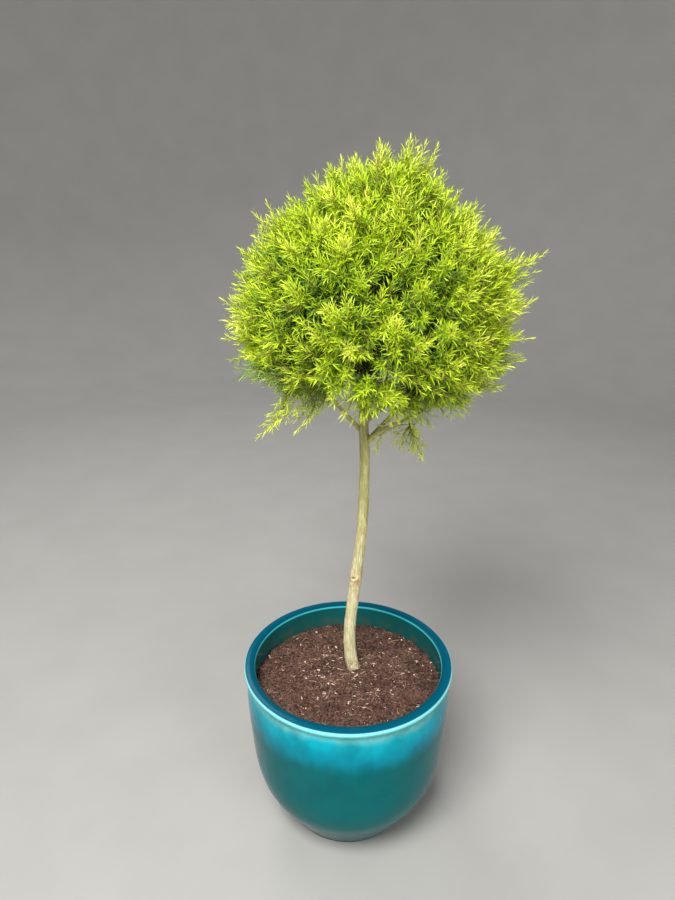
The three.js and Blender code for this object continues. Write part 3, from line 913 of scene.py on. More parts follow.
def twig_tree(materials: Sequence[Material]) -> Tree:
    """Gives every chain of points a round tapering body. Its girth is an attribute.

    Args:
        materials: The finish of old wood and that of young stems.

    Returns:
        The tree.
    """
    tree = Tree("twigs_on_lines", {"Sides": ("Int", 3)})
    lines = tree.first("GeometryNodeMeshToCurve", None, {"Mesh": tree.given["Geometry"]})
    ring = tree.first(
        "GeometryNodeCurvePrimitiveCircle", None, {"Resolution": tree.given["Sides"], "Radius": 1.0}
    )
    values = {"Curve": lines, "Profile Curve": ring, "Scale": tree.named("girth"), "Fill Caps": True}
    wood = tree.first("GeometryNodeCurveToMesh", None, values)
    wood = tree.step("RealizeInstances", tree.step("SetShadeSmooth", wood))
    young = tree.maths("GREATER_THAN", tree.named("young"), 0.5)
    for material, chosen in zip(materials, (True, young)):
        wood = tree.step("SetMaterial", wood, Selection=chosen, Material=material)
    tree.close(wood)
    return tree


@dataclass(frozen=True)
class LeafSpiral:
    """How leaves stand along a shoot: how close, how long and wide, how far out, and by what luck.

    Spreads and turns are in radians. The tone rises along the shoot by so many places in the list:
    paler young growth at the tips, and painted shade at the shoot's foot in the depth of the head.
    """

    spacing: float = 0.0023
    length: float = 0.0196
    width: float = 0.00148
    lowest_spread: float = 1.12
    tip_spread: float = 0.46
    closing: Pair = (0.3, 1.0)
    spread_luck: float = 0.2
    turn_luck: float = 0.5
    young_from: float = 0.6
    young_length: float = 0.74
    length_luck: Pair = (0.8, 1.12)
    tone_from: float = 0.1
    tone_rise: Pair = (-1.45, 1.15)
    tone_luck: float = 0.45

    def directions(self, tree: Tree, tangent: object, along: object) -> Socket:
        """Points the leaves outwards in a spiral, closer to the shoot towards its tip.

        Args:
            tree: The tree in the making.
            tangent: The shoot's direction at each leaf.
            along: Each leaf's place on its shoot, from 0 to 1.

        Returns:
            The rotation of each leaf.
        """
        given = tree.given
        index = tree.first("GeometryNodeInputIndex")
        luck = tree.random(-self.turn_luck, self.turn_luck, given["Seed"])
        turn = tree.maths("MULTIPLY_ADD", index, GOLDEN, luck)
        kind = "FunctionNodeAlignRotationToVector"
        aimed = tree.first(kind, {"axis": "Z"}, {"Vector": tangent})
        aimed = tree.turn(aimed, (0, 0, 1), turn)
        spread = tree.remap(along, *self.closing, (1, 0))
        gap = tree.maths("SUBTRACT", given["Lowest Spread"], given["Tip Spread"])
        spread = tree.maths("MULTIPLY_ADD", spread, gap, given["Tip Spread"])
        spread = tree.maths("ADD", spread, tree.random(-self.spread_luck, self.spread_luck, 5))
        aimed = tree.turn(aimed, (1, 0, 0), spread)
        return tree.turn(aimed, (0, 0, 1), tree.random(-self.turn_luck, self.turn_luck, 6))

    def sizes(self, tree: Tree, along: object) -> Socket:
        """The scale of each leaf, shorter near the tip.

        Args:
            tree: The tree in the making.
            along: Each leaf's place on its shoot.

        Returns:
            The scale as a vector.
        """
        young = tree.remap(along, self.young_from, 1.0, (1.0, self.young_length))
        length = tree.product(tree.given["Length"], young)
        length = tree.product(length, tree.random(*self.length_luck, 7))
        parts = {0: tree.given["Width"], 1: length, 2: length}
        return tree.first("ShaderNodeCombineXYZ", None, parts)

    def tones(self, tree: Tree, along: object) -> Socket:
        """The tone of each leaf, from its sprig's tone or tint and its place on the shoot.

        Args:
            tree: The tree in the making.
            along: Each leaf's place on its shoot.

        Returns:
            A whole place in the list of tones.
        """
        tone = tree.maths("ADD", tree.named("tone"), tree.random(-self.tone_luck, self.tone_luck, 8))
        # the rise along the shoot: paler young tips, and painted shade at the foot of each shoot
        tone = tree.maths("ADD", tone, tree.remap(along, self.tone_from, 1.0, self.tone_rise))
        tone = tree.maths("MINIMUM", tree.maths("MAXIMUM", tone, 0.0), Tone.GOLD.step + 0.4)
        return tree.maths("ROUND", tree.maths("MAXIMUM", tone, tree.named("tint")))

    def tree(self, materials: Sequence[Material]) -> Tree:
        """Sets leaves along every chain of points, each in the tone of its sprig.

        Args:
            materials: One for each tone.

        Returns:
            The tree.
        """
        tree = Tree(
            "leaves_on_lines",
            {
                "Leaf": ("Object", None),
                "Spacing": ("Float", self.spacing),
                "Length": ("Float", self.length),
                "Width": ("Float", self.width),
                "Lowest Spread": ("Float", self.lowest_spread),
                "Tip Spread": ("Float", self.tip_spread),
                "Seed": ("Int", SEED),
            },
        )
        given = tree.given
        lines = tree.first("GeometryNodeMeshToCurve", None, {"Mesh": given["Geometry"]})
        values = {"Curve": lines, "Length": given["Spacing"]}
        spots = tree.add("GeometryNodeCurveToPoints", {"mode": "LENGTH"}, values).outputs
        along = tree.named("along")
        leaf = tree.add("GeometryNodeObjectInfo", None, {"Object": given["Leaf"]})
        values = {
            "Points": spots["Points"],
            "Instance": leaf.outputs["Geometry"],
            "Rotation": self.directions(tree, spots["Tangent"], along),
            "Scale": self.sizes(tree, along),
        }
        leaves = tree.first("GeometryNodeInstanceOnPoints", None, values)
        values = {"Geometry": leaves, "Name": "step", "Value": self.tones(tree, along)}
        settings = {"data_type": "FLOAT", "domain": "INSTANCE"}
        leaves = tree.first("GeometryNodeStoreNamedAttribute", settings, values)
        leaves = tree.step("RealizeInstances", leaves)
        for step, material in enumerate(materials):
            match = tree.maths("COMPARE", tree.named("step"), float(step), 0.1)
            leaves = tree.step("SetMaterial", leaves, Selection=match, Material=material)
        for name in ("along", "tone", "tint", "step"):
            leaves = tree.step("RemoveAttribute", leaves, Name=name)
        tree.close(tree.step("SetShadeSmooth", leaves))
        return tree


class Chains:
    """Many short lines of points with values at each point, for a tree to work on."""

    def __init__(self, *names: str) -> None:
        """Starts an empty set.

        Args:
            *names: The values that each point carries.
        """
        self.points: list[Array] = []
        self.values: dict[str, list[Array]] = {name: [] for name in names}
        self.edges: list[tuple[int, int]] = []
        self.count = 0

    def add(self, points: Array, **values: float | Array) -> None:
        """Adds one line.

        Args:
            points: Its points, in order.
            **values: Each named value, for the whole line or for each point.
        """
        length = len(points)
        self.edges += [(i, i + 1) for i in range(self.count, self.count + length - 1)]
        self.count += length
        self.points.append(points)
        for name, value in values.items():
            self.values[name].append(np.broadcast_to(np.asarray(value, float), (length,)))

    def carrier(self) -> Piece:
        """The lines as a mesh of edges with their values as attributes.

        Returns:
            The object for a tree to run on.
        """
        piece = make_mesh("carrier", np.concatenate(self.points), edges=self.edges)
        for name, parts in self.values.items():
            attribute = piece.data.attributes.new(name, "FLOAT", "POINT")
            attribute.data.foreach_set("value", np.concatenate(parts).astype(np.float32))
        return piece


@dataclass(frozen=True)
class Pot:
    """The round pot: a narrow flat foot, a full belly, and a rolled rim.

    The belly is given as shares of the height, each with its radius. The soft corners of the rim's
    outside are given inwards from the lip and down from the top.
    """

    height: float = 0.374
    foot_radius: float = 0.131
    foot_corner: tuple[Pair, ...] = ((-0.004, 0.0), (0.0, 0.0), (0.0012, 0.0045))
    foot_top: Pair = (0.0015, 0.006)
    belly: tuple[Pair, ...] = (
        (0.04, 0.139),
        (0.1, 0.1525),
        (0.2, 0.1755),
        (0.29, 0.1915),
        (0.4, 0.2015),
        (0.56, 0.2075),
        (0.8, 0.2135),
        (0.94, 0.2128),
    )
    lined_from: int = 6
    lip_radius: float = 0.218
    groove_depth: float = 0.0066
    groove_height: float = 0.962
    under_lip: tuple[Pair, ...] = ((0.0062, 0.0128), (0.0028, 0.0122))
    lip_foot: tuple[Pair, ...] = ((0.0022, 0.0118), (0.0, 0.0105), (0.0, 0.0072))
    rim_inner: float = 0.1955
    roll: float = 0.006
    crown: float = 0.0006
    crown_shares: tuple[float, ...] = (0.4, 0.5, 0.6)
    mouth_radius: float = 0.197
    mouth_depth: float = 0.022
    wall: float = 0.017
    floor: float = 0.022
    floor_radii: tuple[float, ...] = (0.11, 0.05, 0.0)
    sides: int = 160

    def spots(self, pairs: Iterable[Pair]) -> list[Array]:
        """Places in the section's plane, given as radius and height."""
        return [np.array((radius, 0.0, height)) for radius, height in pairs]

    def corner(self, start: Pair, corner: Pair, end: Pair) -> list[Array]:
        """Points round a soft corner of the section."""
        return list(Line.bezier(*self.spots((start, corner, end)), samples=9).points)

    def rim(self) -> list[Array]:
        """The rim, from the groove under its lip over the top and down into the mouth.

        Returns:
            The points of this stretch of the section.
        """
        top, lip, ring = self.height, self.lip_radius, self.rim_inner
        under, foot = (
            [(lip - inwards, top - down) for inwards, down in corner]
            for corner in (self.under_lip, self.lip_foot)
        )
        rows = self.corner((lip - self.groove_depth, top * self.groove_height), *under)
        rows += self.corner(*foot)
        rows += self.corner((lip, top - self.roll), (lip, top), (lip - self.roll, top))
        rows += self.spots((lerp(lip, ring, share), top + self.crown) for share in self.crown_shares)
        rows += self.corner((ring + self.roll, top), (ring, top), (ring, top - self.roll))
        return rows

    def section(self) -> Array:
        """The wall's outline from the middle of the underside round to that of the floor.

        Returns:
            The section's points, in the XZ plane.
        """
        top, foot = self.height, self.foot_radius
        knots = [(foot + self.foot_top[0], self.foot_top[1])]
        knots += [(radius, share * top) for share, radius in self.belly]
        inside = [(self.mouth_radius, top - self.mouth_depth)]
        inside += [(radius - self.wall, share * top) for share, radius in self.belly[self.lined_from:0:-1]]
        rows = self.spots(((0.0, 0.0), (foot * 0.5, 0.0)))
        rows += self.corner(*[(foot + out, up) for out, up in self.foot_corner])
        rows += list(Line.through(self.spots(knots), samples=5).points)
        rows += self.rim()
        rows += list(Line.through(self.spots(inside), samples=4).points)
        rows += self.spots((radius, self.floor) for radius in self.floor_radii)
        return np.array(rows)

    def build(self) -> None:
        """Revolves the section and glazes it."""
        section = self.section()
        glaze = TealGlaze(self.height, self.lip_radius, self.rim_inner).material()
        carrier = make_mesh("carrier", section)
        sizes = {"Rows": len(section), "Sides": self.sides, "Material": glaze}
        piece = revolve_tree().run(carrier, "glazed_pot", **sizes)
        finish_piece(piece, ["pot"])


@dataclass(frozen=True)
class Litter:
    """One kind of bit strewn over the soil, so many to a square metre.

    The tilt is the most that a bit leans, in radians. The higher the gather, the more of them lie
    near the stem.
    """

    name: str
    bit: str
    density: float
    sizes: Pair
    tilt: float
    gather: float
    dark: Colour
    light: Colour

    def build(self, tree: Tree, ground: Piece, bit: Piece, seed: int) -> None:
        """Strews the bits.

        Args:
            tree: The tree that strews them.
            ground: The soil's surface.
            bit: The shape of one.
            seed: Which set of places they take.
        """
        piece = tree.run(
            place_mesh("carrier", ground.data.copy()),
            f"soil_{self.name}",
            Bit=bit,
            Density=self.density,
            Smallest=self.sizes[0],
            Largest=self.sizes[1],
            Tilt=self.tilt,
            Gather=self.gather,
            Seed=seed,
            Material=Earth(f"soil_{self.name}", self.dark, self.light).material(),
        )
        finish_piece(piece)


DARK_BROWN = (paint(42, 28, 24), paint(90, 64, 54))
MID_BROWN = (paint(90, 64, 54), paint(152, 116, 98))
LUMP_BROWN = (paint(78, 54, 46), paint(140, 104, 88))
FIBRE_BROWN = (paint(104, 76, 62), paint(158, 124, 104))
STRAW = (paint(164, 130, 102), paint(212, 182, 148))
CREAM = (paint(206, 178, 148), paint(252, 238, 216))
LITTER = (
    Litter("crumbs_dark", "crumb", 30000.0, (0.0014, 0.0075), 3.1, 0.0, *DARK_BROWN),
    Litter("crumbs_brown", "crumb", 20000.0, (0.001, 0.006), 3.1, 0.0, *MID_BROWN),
    Litter("lumps", "crumb", 330.0, (0.006, 0.017), 3.1, 0.0, *LUMP_BROWN),
    Litter("chips_pale", "crumb", 420.0, (0.003, 0.008), 3.1, 0.6, *CREAM),
    Litter("splinters_pale", "flake", 1300.0, (0.004, 0.014), 0.5, 1.4, *CREAM),
    Litter("splinters_brown", "flake", 7000.0, (0.004, 0.016), 0.6, 0.0, *MID_BROWN),
    Litter("long_fibres", "strand", 330.0, (0.018, 0.036), 0.2, 0.3, *STRAW),
    Litter("fibres_pale", "strand", 4200.0, (0.006, 0.022), 0.3, 0.3, *STRAW),
    Litter("fibres_brown", "strand", 11000.0, (0.005, 0.02), 0.5, 0.0, *FIBRE_BROWN),
)


@dataclass(frozen=True)
class Soil:
    """The domed potting mix, with crumbs, lumps, pale chips and loose fibres on it."""

    edge_height: float = 0.323
    dome: float = 0.0137
    radius: float = 0.1946
    wall: tuple[Pair, ...] = ((0.1842, 0.149), (0.151, 0.06), (0.125, 0.0225))
    rows: int = 84
    columns: int = 260
    crowding: float = 0.8
    swells: tuple[Pair, ...] = ((0.11, 0.0013), (0.045, 0.0011), (0.02, 0.0008), (0.009, 0.0006))
    swells_of_each: int = 5
    edge_width: float = 0.006
    edge_sink: float = 0.0015

    def level(self, radius: Array) -> Array:
        """The smooth dome's height at a distance from the pot's axis."""
        return self.edge_height + self.dome * np.cos(radius / self.radius * math.pi / 2)

    def relief(self, x: Array, y: Array) -> Array:
        """Uneven ground: broad swells with finer lumps on them.

        Args:
            x: Places across.
            y: Places in depth.

        Returns:
            The height to add at each place.
        """
        dice = np.random.default_rng(SEED)
        height = np.zeros_like(x)
        for wavelength, depth in self.swells:
            for _ in range(self.swells_of_each):
                bearing, phase = dice.uniform(0, FULL_TURN, 2)
                along = x * math.cos(bearing) + y * math.sin(bearing)
                height += depth / 2 * np.sin(along * 2 * math.pi / wavelength + phase)
        return height

    def ground(self) -> Piece:
        """The body of soil, closed down the wall and over the floor.

        Returns:
            The unfinished piece.
        """
        share = np.linspace(0, 1, self.rows + 1)[1:]
        turn = np.linspace(0, FULL_TURN, self.columns, endpoint=False)
        radius = (share**self.crowding * self.radius)[:, None]
        x, y = radius * np.cos(turn), radius * np.sin(turn)
        inside = np.clip((self.radius - radius) / self.edge_width, 0, 1)
        z = self.level(radius) + self.relief(x, y) * inside - self.edge_sink * (1 - inside)
        rings = [np.stack((x, y, z), axis=-1)]
        for wide, height in self.wall:
            ring = (wide * np.cos(turn), wide * np.sin(turn), np.full_like(turn, height))
            rings.append(np.stack(ring, axis=-1)[None])
        points = np.concatenate(rings).reshape(-1, 3)
        total = self.rows + len(self.wall)
        middle, under = len(points), len(points) + 1
        crown = (0.0, 0.0, float(self.level(np.array(0.0))))
        points = np.vstack((points, crown, (0.0, 0.0, self.wall[-1][1])))
        faces = []
        for column in range(self.columns):
            after = (column + 1) % self.columns
            faces.append((middle, column, after))
            for row in range(total - 1):
                low, high = row * self.columns, (row + 1) * self.columns
                faces.append((low + column, high + column, high + after, low + after))
            last = (total - 1) * self.columns
            faces.append((last + column, under, last + after))
        brown = Earth("potting_mix", paint(56, 39, 33), paint(120, 90, 77))
        return make_mesh("soil_ground", points, faces, material=brown.material())

    def crumb(self) -> Piece:
        """A rough little lump, one unit across.

        Returns:
            The shape.
        """
        nearest, furthest = 0.32, 0.6
        squash = np.array((1, 0.8, 0.6))
        ratio = (1 + math.sqrt(5)) / 2
        corners = []
        for a in (-1, 1):
            for b in (-ratio, ratio):
                corners += [(0, a, b), (a, b, 0), (b, 0, a)]
        points = unit(np.array(corners, float))
        faces = hull_faces(points)
        dice = np.random.default_rng(SEED)
        points = points * dice.uniform(nearest, furthest, (len(points), 1)) * squash
        return make_mesh("crumb", points, faces)

    def flake(self) -> Piece:
        """A flat splinter, one unit long.

        Returns:
            The shape.
        """
        ends = [(-0.5, 0.0, 0.0), (0.5, 0.02, 0.03)]
        edges = [(0.0, 0.15, -0.02), (0.1, -0.14, 0.0)]
        ridge = [(-0.1, 0.0, 0.11), (0.2, 0.01, 0.09)]
        points = np.array([*ends, *edges, *ridge])
        return make_mesh("flake", points, hull_faces(points))

    def strand(self) -> Piece:
        """A thin bent fibre, one unit long, that lies on its side.

        Returns:
            The shape.
        """
        marks, sides, thickness = 7, 3, 0.026
        share = np.linspace(-0.5, 0.5, marks)
        bow, wave = 0.16 * np.cos(share * 4.2), 0.1 * np.cos(share * 7) + 0.02
        spine = np.stack((share, bow, wave), axis=-1)
        ring = [heading(90, 90 + 360 / sides * i) * thickness for i in range(sides)]
        points = np.concatenate([spine + side for side in ring]).reshape(sides, marks, 3)
        points = points.transpose(1, 0, 2).reshape(-1, 3)
        faces = tube_faces(marks, sides)
        last = sides * (marks - 1)
        return make_mesh("strand", points, [*faces, (2, 1, 0), (last, last + 1, last + 2)])

    def build(self) -> None:
        """Makes the ground, strews the bits over it and finishes each."""
        ground = self.ground()
        bits = {"crumb": self.crumb(), "flake": self.flake(), "strand": self.strand()}
        tree = scatter_tree()
        for number, litter in enumerate(LITTER):
            litter.build(tree, ground, bits[litter.bit], SEED + number)
        for bit in bits.values():
            bpy.data.objects.remove(bit)
        finish_piece(ground, ["soil"])


def hull_faces(points: Array) -> list[tuple[int, int, int]]:
    """The faces of a small convex shape, each a triangle with all points behind it.

    Args:
        points: The shape's corners.

    Returns:
        Three corners to a face, in order seen from outside.
    """
    faces = []
    count = len(points)
    for i in range(count):
        for j in range(i + 1, count):
            for k in range(j + 1, count):
                facing = np.cross(points[j] - points[i], points[k] - points[i])
                sides = (points - points[i]) @ facing
                if np.all(sides < 1e-9):
                    faces.append((i, j, k))
                elif np.all(sides > -1e-9):
                    faces.append((i, k, j))
    return faces


def tube_faces(rows: int, sides: int) -> list[tuple[int, ...]]:
    """The faces between rings of points that follow one another.

    Args:
        rows: How many rings there are.
        sides: How many points a ring has.

    Returns:
        Four points to a face, in order seen from outside.
    """
    faces = []
    for low in range(0, (rows - 1) * sides, sides):
        for i in range(sides):
            after = (i + 1) % sides
            faces.append((low + i, low + after, low + sides + after, low + sides + i))
    return faces


def tube(
    line: Line,
    rows: int,
    sides: int,
    radius_at: Callable[[Array, Array, Array], Array],
) -> tuple[Array, list[tuple[int, ...]]]:
    """Sweeps a ring along a line.

    Args:
        line: The centre line.
        rows: How many rings there are.
        sides: How many points a ring has.
        radius_at: The radius for shares, heights and angles.

    Returns:
        The points and the faces of a closed tube.
    """
    share = np.linspace(0, 1, rows)
    centre, along = line.at(share), line.towards(share)
    side = unit(np.cross(along[0], np.array((0.3, 1.0, 0.1))))
    rings = []
    angle = np.linspace(0, FULL_TURN, sides, endpoint=False)
    radius = radius_at(share[:, None], centre[:, 2:3], angle[None, :])
    for row in range(rows):
        side = unit(side - along[row] * float(side @ along[row]))
        other = np.cross(along[row], side)
        spokes = np.cos(angle)[:, None] * side + np.sin(angle)[:, None] * other
        rings.append(centre[row] + spokes * radius[row][:, None])
    points = np.concatenate([*rings, centre[:1], centre[-1:]])
    foot, tip = rows * sides, rows * sides + 1
    last = (rows - 1) * sides
    faces = tube_faces(rows, sides)
    for i in range(sides):
        after = (i + 1) % sides
        faces += [(foot, after, i), (tip, last + i, last + after)]
    return points, faces


class Ridges:
    """Fine relief that runs along a limb and closes round it."""

    def __init__(self, seed: int, depth: float, most: int, drift: float) -> None:
        """Draws the ridges.

        Args:
            seed: Which set of ridges.
            depth: Their height, in metres.
            most: The most ridges there are round the limb.
            drift: How fast they wander, in radians for each metre.
        """
        dice = np.random.default_rng(seed)
        self.depth = depth
        fewest, waves, any_phase = 3, 9, 6.3
        self.waves = [
            (int(dice.integers(fewest, most)), dice.uniform(-drift, drift), dice.uniform(0, any_phase))
            for _ in range(waves)
        ]

    def at(self, height: Array, angle: Array) -> Array:
        """The relief at heights and angles."""
        total = sum(np.sin(n * angle + drift * height + phase) for n, drift, phase in self.waves)
        return self.depth * total / math.sqrt(len(self.waves))


@dataclass(frozen=True)
class Head:
    """The outline of the head of foliage: a blunt cone over a squarer bowl.

    The hollows are the open spaces under it, each with a centre and its reach along each axis.
    """

    centre: Triple = (0.0435, 0.026, 1.119)
    half_width: float = 0.255
    top_rise: float = 0.245
    bottom_drop: float = 0.196
    top_power: float = 1.46
    bottom_power: float = 3.1
    lean: float = 0.03
    hollows: tuple[tuple[Triple, Triple], ...] = (
        ((0.040, 0.022, 0.928), (0.132, 0.132, 0.115)),
        ((-0.036, -0.112, 0.925), (0.060, 0.095, 0.072)),
        ((0.070, -0.108, 0.905), (0.050, 0.100, 0.056)),
        ((0.022, -0.115, 0.905), (0.060, 0.110, 0.050)),
    )

    @property
    def middle(self) -> Array:
        """The centre as a vector."""
        return np.array(self.centre)

    def reach(self, way: Array) -> float:
        """How far the outline lies from the centre in a direction.

        Args:
            way: The unit direction.

        Returns:
            The distance.
        """
        power, half = self.bottom_power, self.bottom_drop
        if way[2] >= 0:
            power, half = self.top_power, self.top_rise
        side = math.hypot(way[0] - self.lean * way[2], way[1])
        return ((side / self.half_width) ** power + abs(way[2] / half) ** power) ** (-1 / power)

    def share(self, point: Array) -> float:
        """How far out a point lies, as a share of the way to the outline.

        Args:
            point: The place.

        Returns:
            The share, 1 on the outline.
        """
        away = point - self.middle
        distance = float(np.linalg.norm(away))
        return distance / self.reach(away / distance)

    def hollow(self, point: Array) -> bool:
        """Whether a point lies in an open space under the head."""
        return any(np.linalg.norm((point - centre) / np.array(size)) < 1 for centre, size in self.hollows)


@dataclass(frozen=True)
class BoughPlan:
    """One bough, as the source states it. Bearing and rise are in degrees.

    The branch is the share of the bough at which a side branch leaves, and that branch's knots.
    """

    name: str
    foot: float
    bearing: float
    rise: float
    radius: float
    branch: tuple[float, tuple[Triple, ...]] | None = None


@dataclass(frozen=True)
class Tier:
    """A ring of masses of foliage at one height, and the hubs that their boughs head for."""

    ring: float
    height: float
    bearing: float
    hub_ring: float
    hub_height: float
    parent: str
    boughs: tuple[BoughPlan, ...]


RIGHT_BRANCH = (
    (0.0485, 0.002, 0.8762),
    (0.0730, -0.013, 0.8975),
    (0.1005, -0.028, 0.9140),
    (0.1200, -0.038, 0.9280),
    (0.1400, -0.045, 0.9450),
)
LOWER = Tier(
    ring=0.150,
    height=1.030,
    bearing=184,
    hub_ring=0.150,
    hub_height=1.035,
    parent="trunk",
    boughs=(
        BoughPlan("left", 0.870, 182, 44, 0.0042),
        BoughPlan("front_left", 0.916, 250, 38, 0.0042),
        BoughPlan("right_low", 0.846, 338, 52, 0.0046, (0.03, RIGHT_BRANCH)),
        BoughPlan("right_high", 0.892, 16, 30, 0.0050),
        BoughPlan("back_left", 0.908, 108, 40, 0.0042),
    ),
)
UPPER = Tier(
    ring=0.140,
    height=1.165,
    bearing=218,
    hub_ring=0.105,
    hub_height=1.168,
    parent="leader",
    boughs=(
        BoughPlan("upper_left", 0.984, 218, 58, 0.0040),
        BoughPlan("upper_right", 1.000, 338, 58, 0.0040),
        BoughPlan("upper_back", 1.016, 98, 58, 0.0038),
    ),
)
TOP = Tier(
    ring=0.0,
    height=1.290,
    bearing=0,
    hub_ring=0.0,
    hub_height=1.272,
    parent="",
    boughs=(BoughPlan("top", 0, 0, 0, 0.0034),),
)


@dataclass(frozen=True)
class Wood:
    """The stem, its leader and the boughs: their lines, girths and bark.

    The sway is given as shares of the stem's height, each with its place across.
    """

    foot: float = 0.337
    top: float = 0.930
    depth: float = 0.026
    sway: tuple[Pair, ...] = (
        (0, 0.007),
        (0.12, 0.0025),
        (0.3, 0.010),
        (0.5, 0.023),
        (0.68, 0.0285),
        (0.82, 0.0295),
        (0.93, 0.026),
        (1, 0.027),
    )
    foot_radius: float = 0.0126
    top_radius: float = 0.0086
    sunk: float = 0.008
    foot_bend: Triple = (0.005, -0.004, 0.0)
    foot_bend_height: float = 0.014
    flare: float = 0.0018
    flare_height: float = 0.022
    knot_height: float = 0.556
    knot_bulge: float = 0.0016
    knot_length: float = 0.016
    scar_bearing: float = 248
    scar_above: float = 0.003
    callus_aside: float = 42
    callus_below: float = 0.005
    scar_lip: Triple = (0.006, 0.0026, 0.0016)
    scar_hole: Pair = (0.0035, 0.0022)
    leader_tip: float = 1.236
    leader_radii: Pair = (0.0082, 0.0034)
    leader_blend: Pair = (0.03, 0.05)
    leader_low_bend: Triple = (-0.004, 0.003, 0.0)
    leader_high_bend: Triple = (0.004, -0.003, 0.020)
    ring_depth: float = 0.00035
    rings_to_metre: float = 21
    ring_slant: float = 0.3
    ring_sharpness: float = 160
    relief_radius: float = 0.0115
    bough_tip_radius: float = 0.0028
    bough_end_radius: float = 0.0016
    bough_relief_radius: float = 0.004
    collar: float = 0.0024
    collar_fade: float = 9
    branch_radius: float = 0.0036
    branch_taper: float = 0.0018
    branch_relief: float = 0.0004
    gap: float = 0.0003

    def trunk_line(self) -> Line:
        """The stem's centre line."""
        knots = [(x, self.depth, lerp(self.foot, self.top, share)) for share, x in self.sway]
        return Line.through([np.array(knot) for knot in knots])

    def leader_line(self, head: Head) -> Line:
        """The leader's centre line, from the stem's tip up through the head.

        Args:
            head: The outline that it stands in.

        Returns:
            The line.
        """
        trunk = self.trunk_line()
        foot = trunk.at(1.0) + trunk.towards(1.0) * self.gap
        low = foot + (head.middle - foot) * 0.45 + np.array(self.leader_low_bend)
        high = head.middle + np.array(self.leader_high_bend)
        tip = np.array((head.centre[0], head.centre[1], self.leader_tip))
        return Line.through([foot, low, high, tip])

    def trunk_radius(self, height: Array) -> Array:
        """The stem's radius at a height, with its root flare and knot.

        Args:
            height: One height, or several.

        Returns:
            The radius at each.
        """
        share = (height - self.foot) / (self.top - self.foot)
        taper = self.foot_radius + (self.top_radius - self.foot_radius) * share
        flare = self.flare * np.exp(-(height - self.foot) / self.flare_height)
        knot = self.knot_bulge * np.exp(-(((height - self.knot_height) / self.knot_length) ** 2))
        return taper + flare + knot

    def on_bark(self, bearing: float, height: float) -> Array:
        """The place on the stem's bark at a bearing and a height."""
        line, radius = self.trunk_line(), float(self.trunk_radius(np.array(height)))
        return line.at(line.height_share(height)) + heading(bearing, 0) * radius

    def scar(self) -> Array:
        """The middle of the pruning scar."""
        return self.on_bark(self.scar_bearing, self.knot_height + self.scar_above)

    def bark(self) -> Material:
        """The bark of the stem and boughs."""
        callus = self.on_bark(self.scar_bearing + self.callus_aside, self.knot_height - self.callus_below)
        return Bark(tuple(self.scar().tolist()), tuple(callus.tolist())).material()

    def healed(self, points: Array) -> Array:
        """Raises the scar's lip and sinks its hole in the stem's surface.

        Args:
            points: The points of the stem.

        Returns:
            The moved points.
        """
        away = np.linalg.norm(points - self.scar(), axis=1)
        ring, width, rise = self.scar_lip
        reach, sink = self.scar_hole
        lip = np.exp(-(((away - ring) / width) ** 2)) * rise
        relief = lip - np.exp(-((away / reach) ** 2)) * sink
        return points + heading(self.scar_bearing, 0) * relief[:, None]

    def stem(self, head: Head, bark: Material) -> None:
        """Makes the stem and its leader in one tube, with the bark's relief.

        Args:
            head: The outline that the leader stands in.
            bark: Its material.
        """
        trunk, leader = self.trunk_line(), self.leader_line(head)
        below = trunk.points[0] - np.array((0, 0, self.sunk))
        line = Line(np.concatenate((below[None], trunk.points, leader.points)))
        ridges = Ridges(SEED, depth=0.00034, most=30, drift=22)
        swells = Ridges(SEED + 1, depth=0.00045, most=5, drift=60)
        start, width = self.leader_blend

        def radius_at(share: Array, height: Array, angle: Array) -> Array:
            """The radius by height and angle, as tube asks for it.

            Args:
                share: Shares of the length. Not used.
                height: Heights.
                angle: Angles round the line.

            Returns:
                The radius at each.
            """
            above = (height - self.top) / (self.leader_tip - self.top)
            thin = self.leader_radii[0] + (self.leader_radii[1] - self.leader_radii[0]) * above
            stout = self.trunk_radius(np.maximum(height, self.foot))
            radius = stout + (thin - stout) * np.clip((height - self.top + start) / width, 0, 1)
            to_ring = (height * self.rings_to_metre + self.ring_slant * np.sin(angle)) % 1 - 0.5
            rings = self.ring_depth * np.exp(-(to_ring**2) * self.ring_sharpness)
            relief = ridges.at(height, angle) + swells.at(height, angle) + rings
            return radius * (1 + relief / self.relief_radius)

        points, faces = tube(line, 460, 56, radius_at)
        points = self.healed(points)
        bent = np.exp(-np.maximum(points[:, 2] - self.foot, 0) / self.foot_bend_height)
        points = points + np.array(self.foot_bend) * bent[:, None]
        piece = make_mesh("stem_with_leader", points, faces, material=bark)
        finish_piece(piece, ["trunk", "leader"])

    def side_branch(self, mass: Mass) -> tuple[Array, list[tuple[int, ...]]]:
        """The thin branch that leaves a bough close to its foot.

        Args:
            mass: The mass whose bough it leaves.

        Returns:
            Its points and faces.
        """
        leaves_at, knots = mass.plan.branch
        line = Line.through([mass.bough.at(leaves_at), *knots])

        def radius_at(share: Array, height: Array, angle: Array) -> Array:
            """The radius, which thins out along the branch, as tube asks for it."""
            relief = self.branch_relief * np.sin(angle * 3 + height * 90)
            return self.branch_radius - self.branch_taper * share + relief

        return tube(line, 60, 14, radius_at)

    def bough(self, mass: Mass, bark: Material) -> None:
        """Makes one bough with the stem of its mass, from a collar on its parent to a thin tip.

        Args:
            mass: The mass that it carries.
            bark: Its material.
        """
        line = Line(np.concatenate((mass.bough.points, mass.stem.points)))
        share_of_bough = mass.bough.length / line.length
        ridges = Ridges(SEED + int(mass.plan.bearing), depth=0.00022, most=9, drift=40)

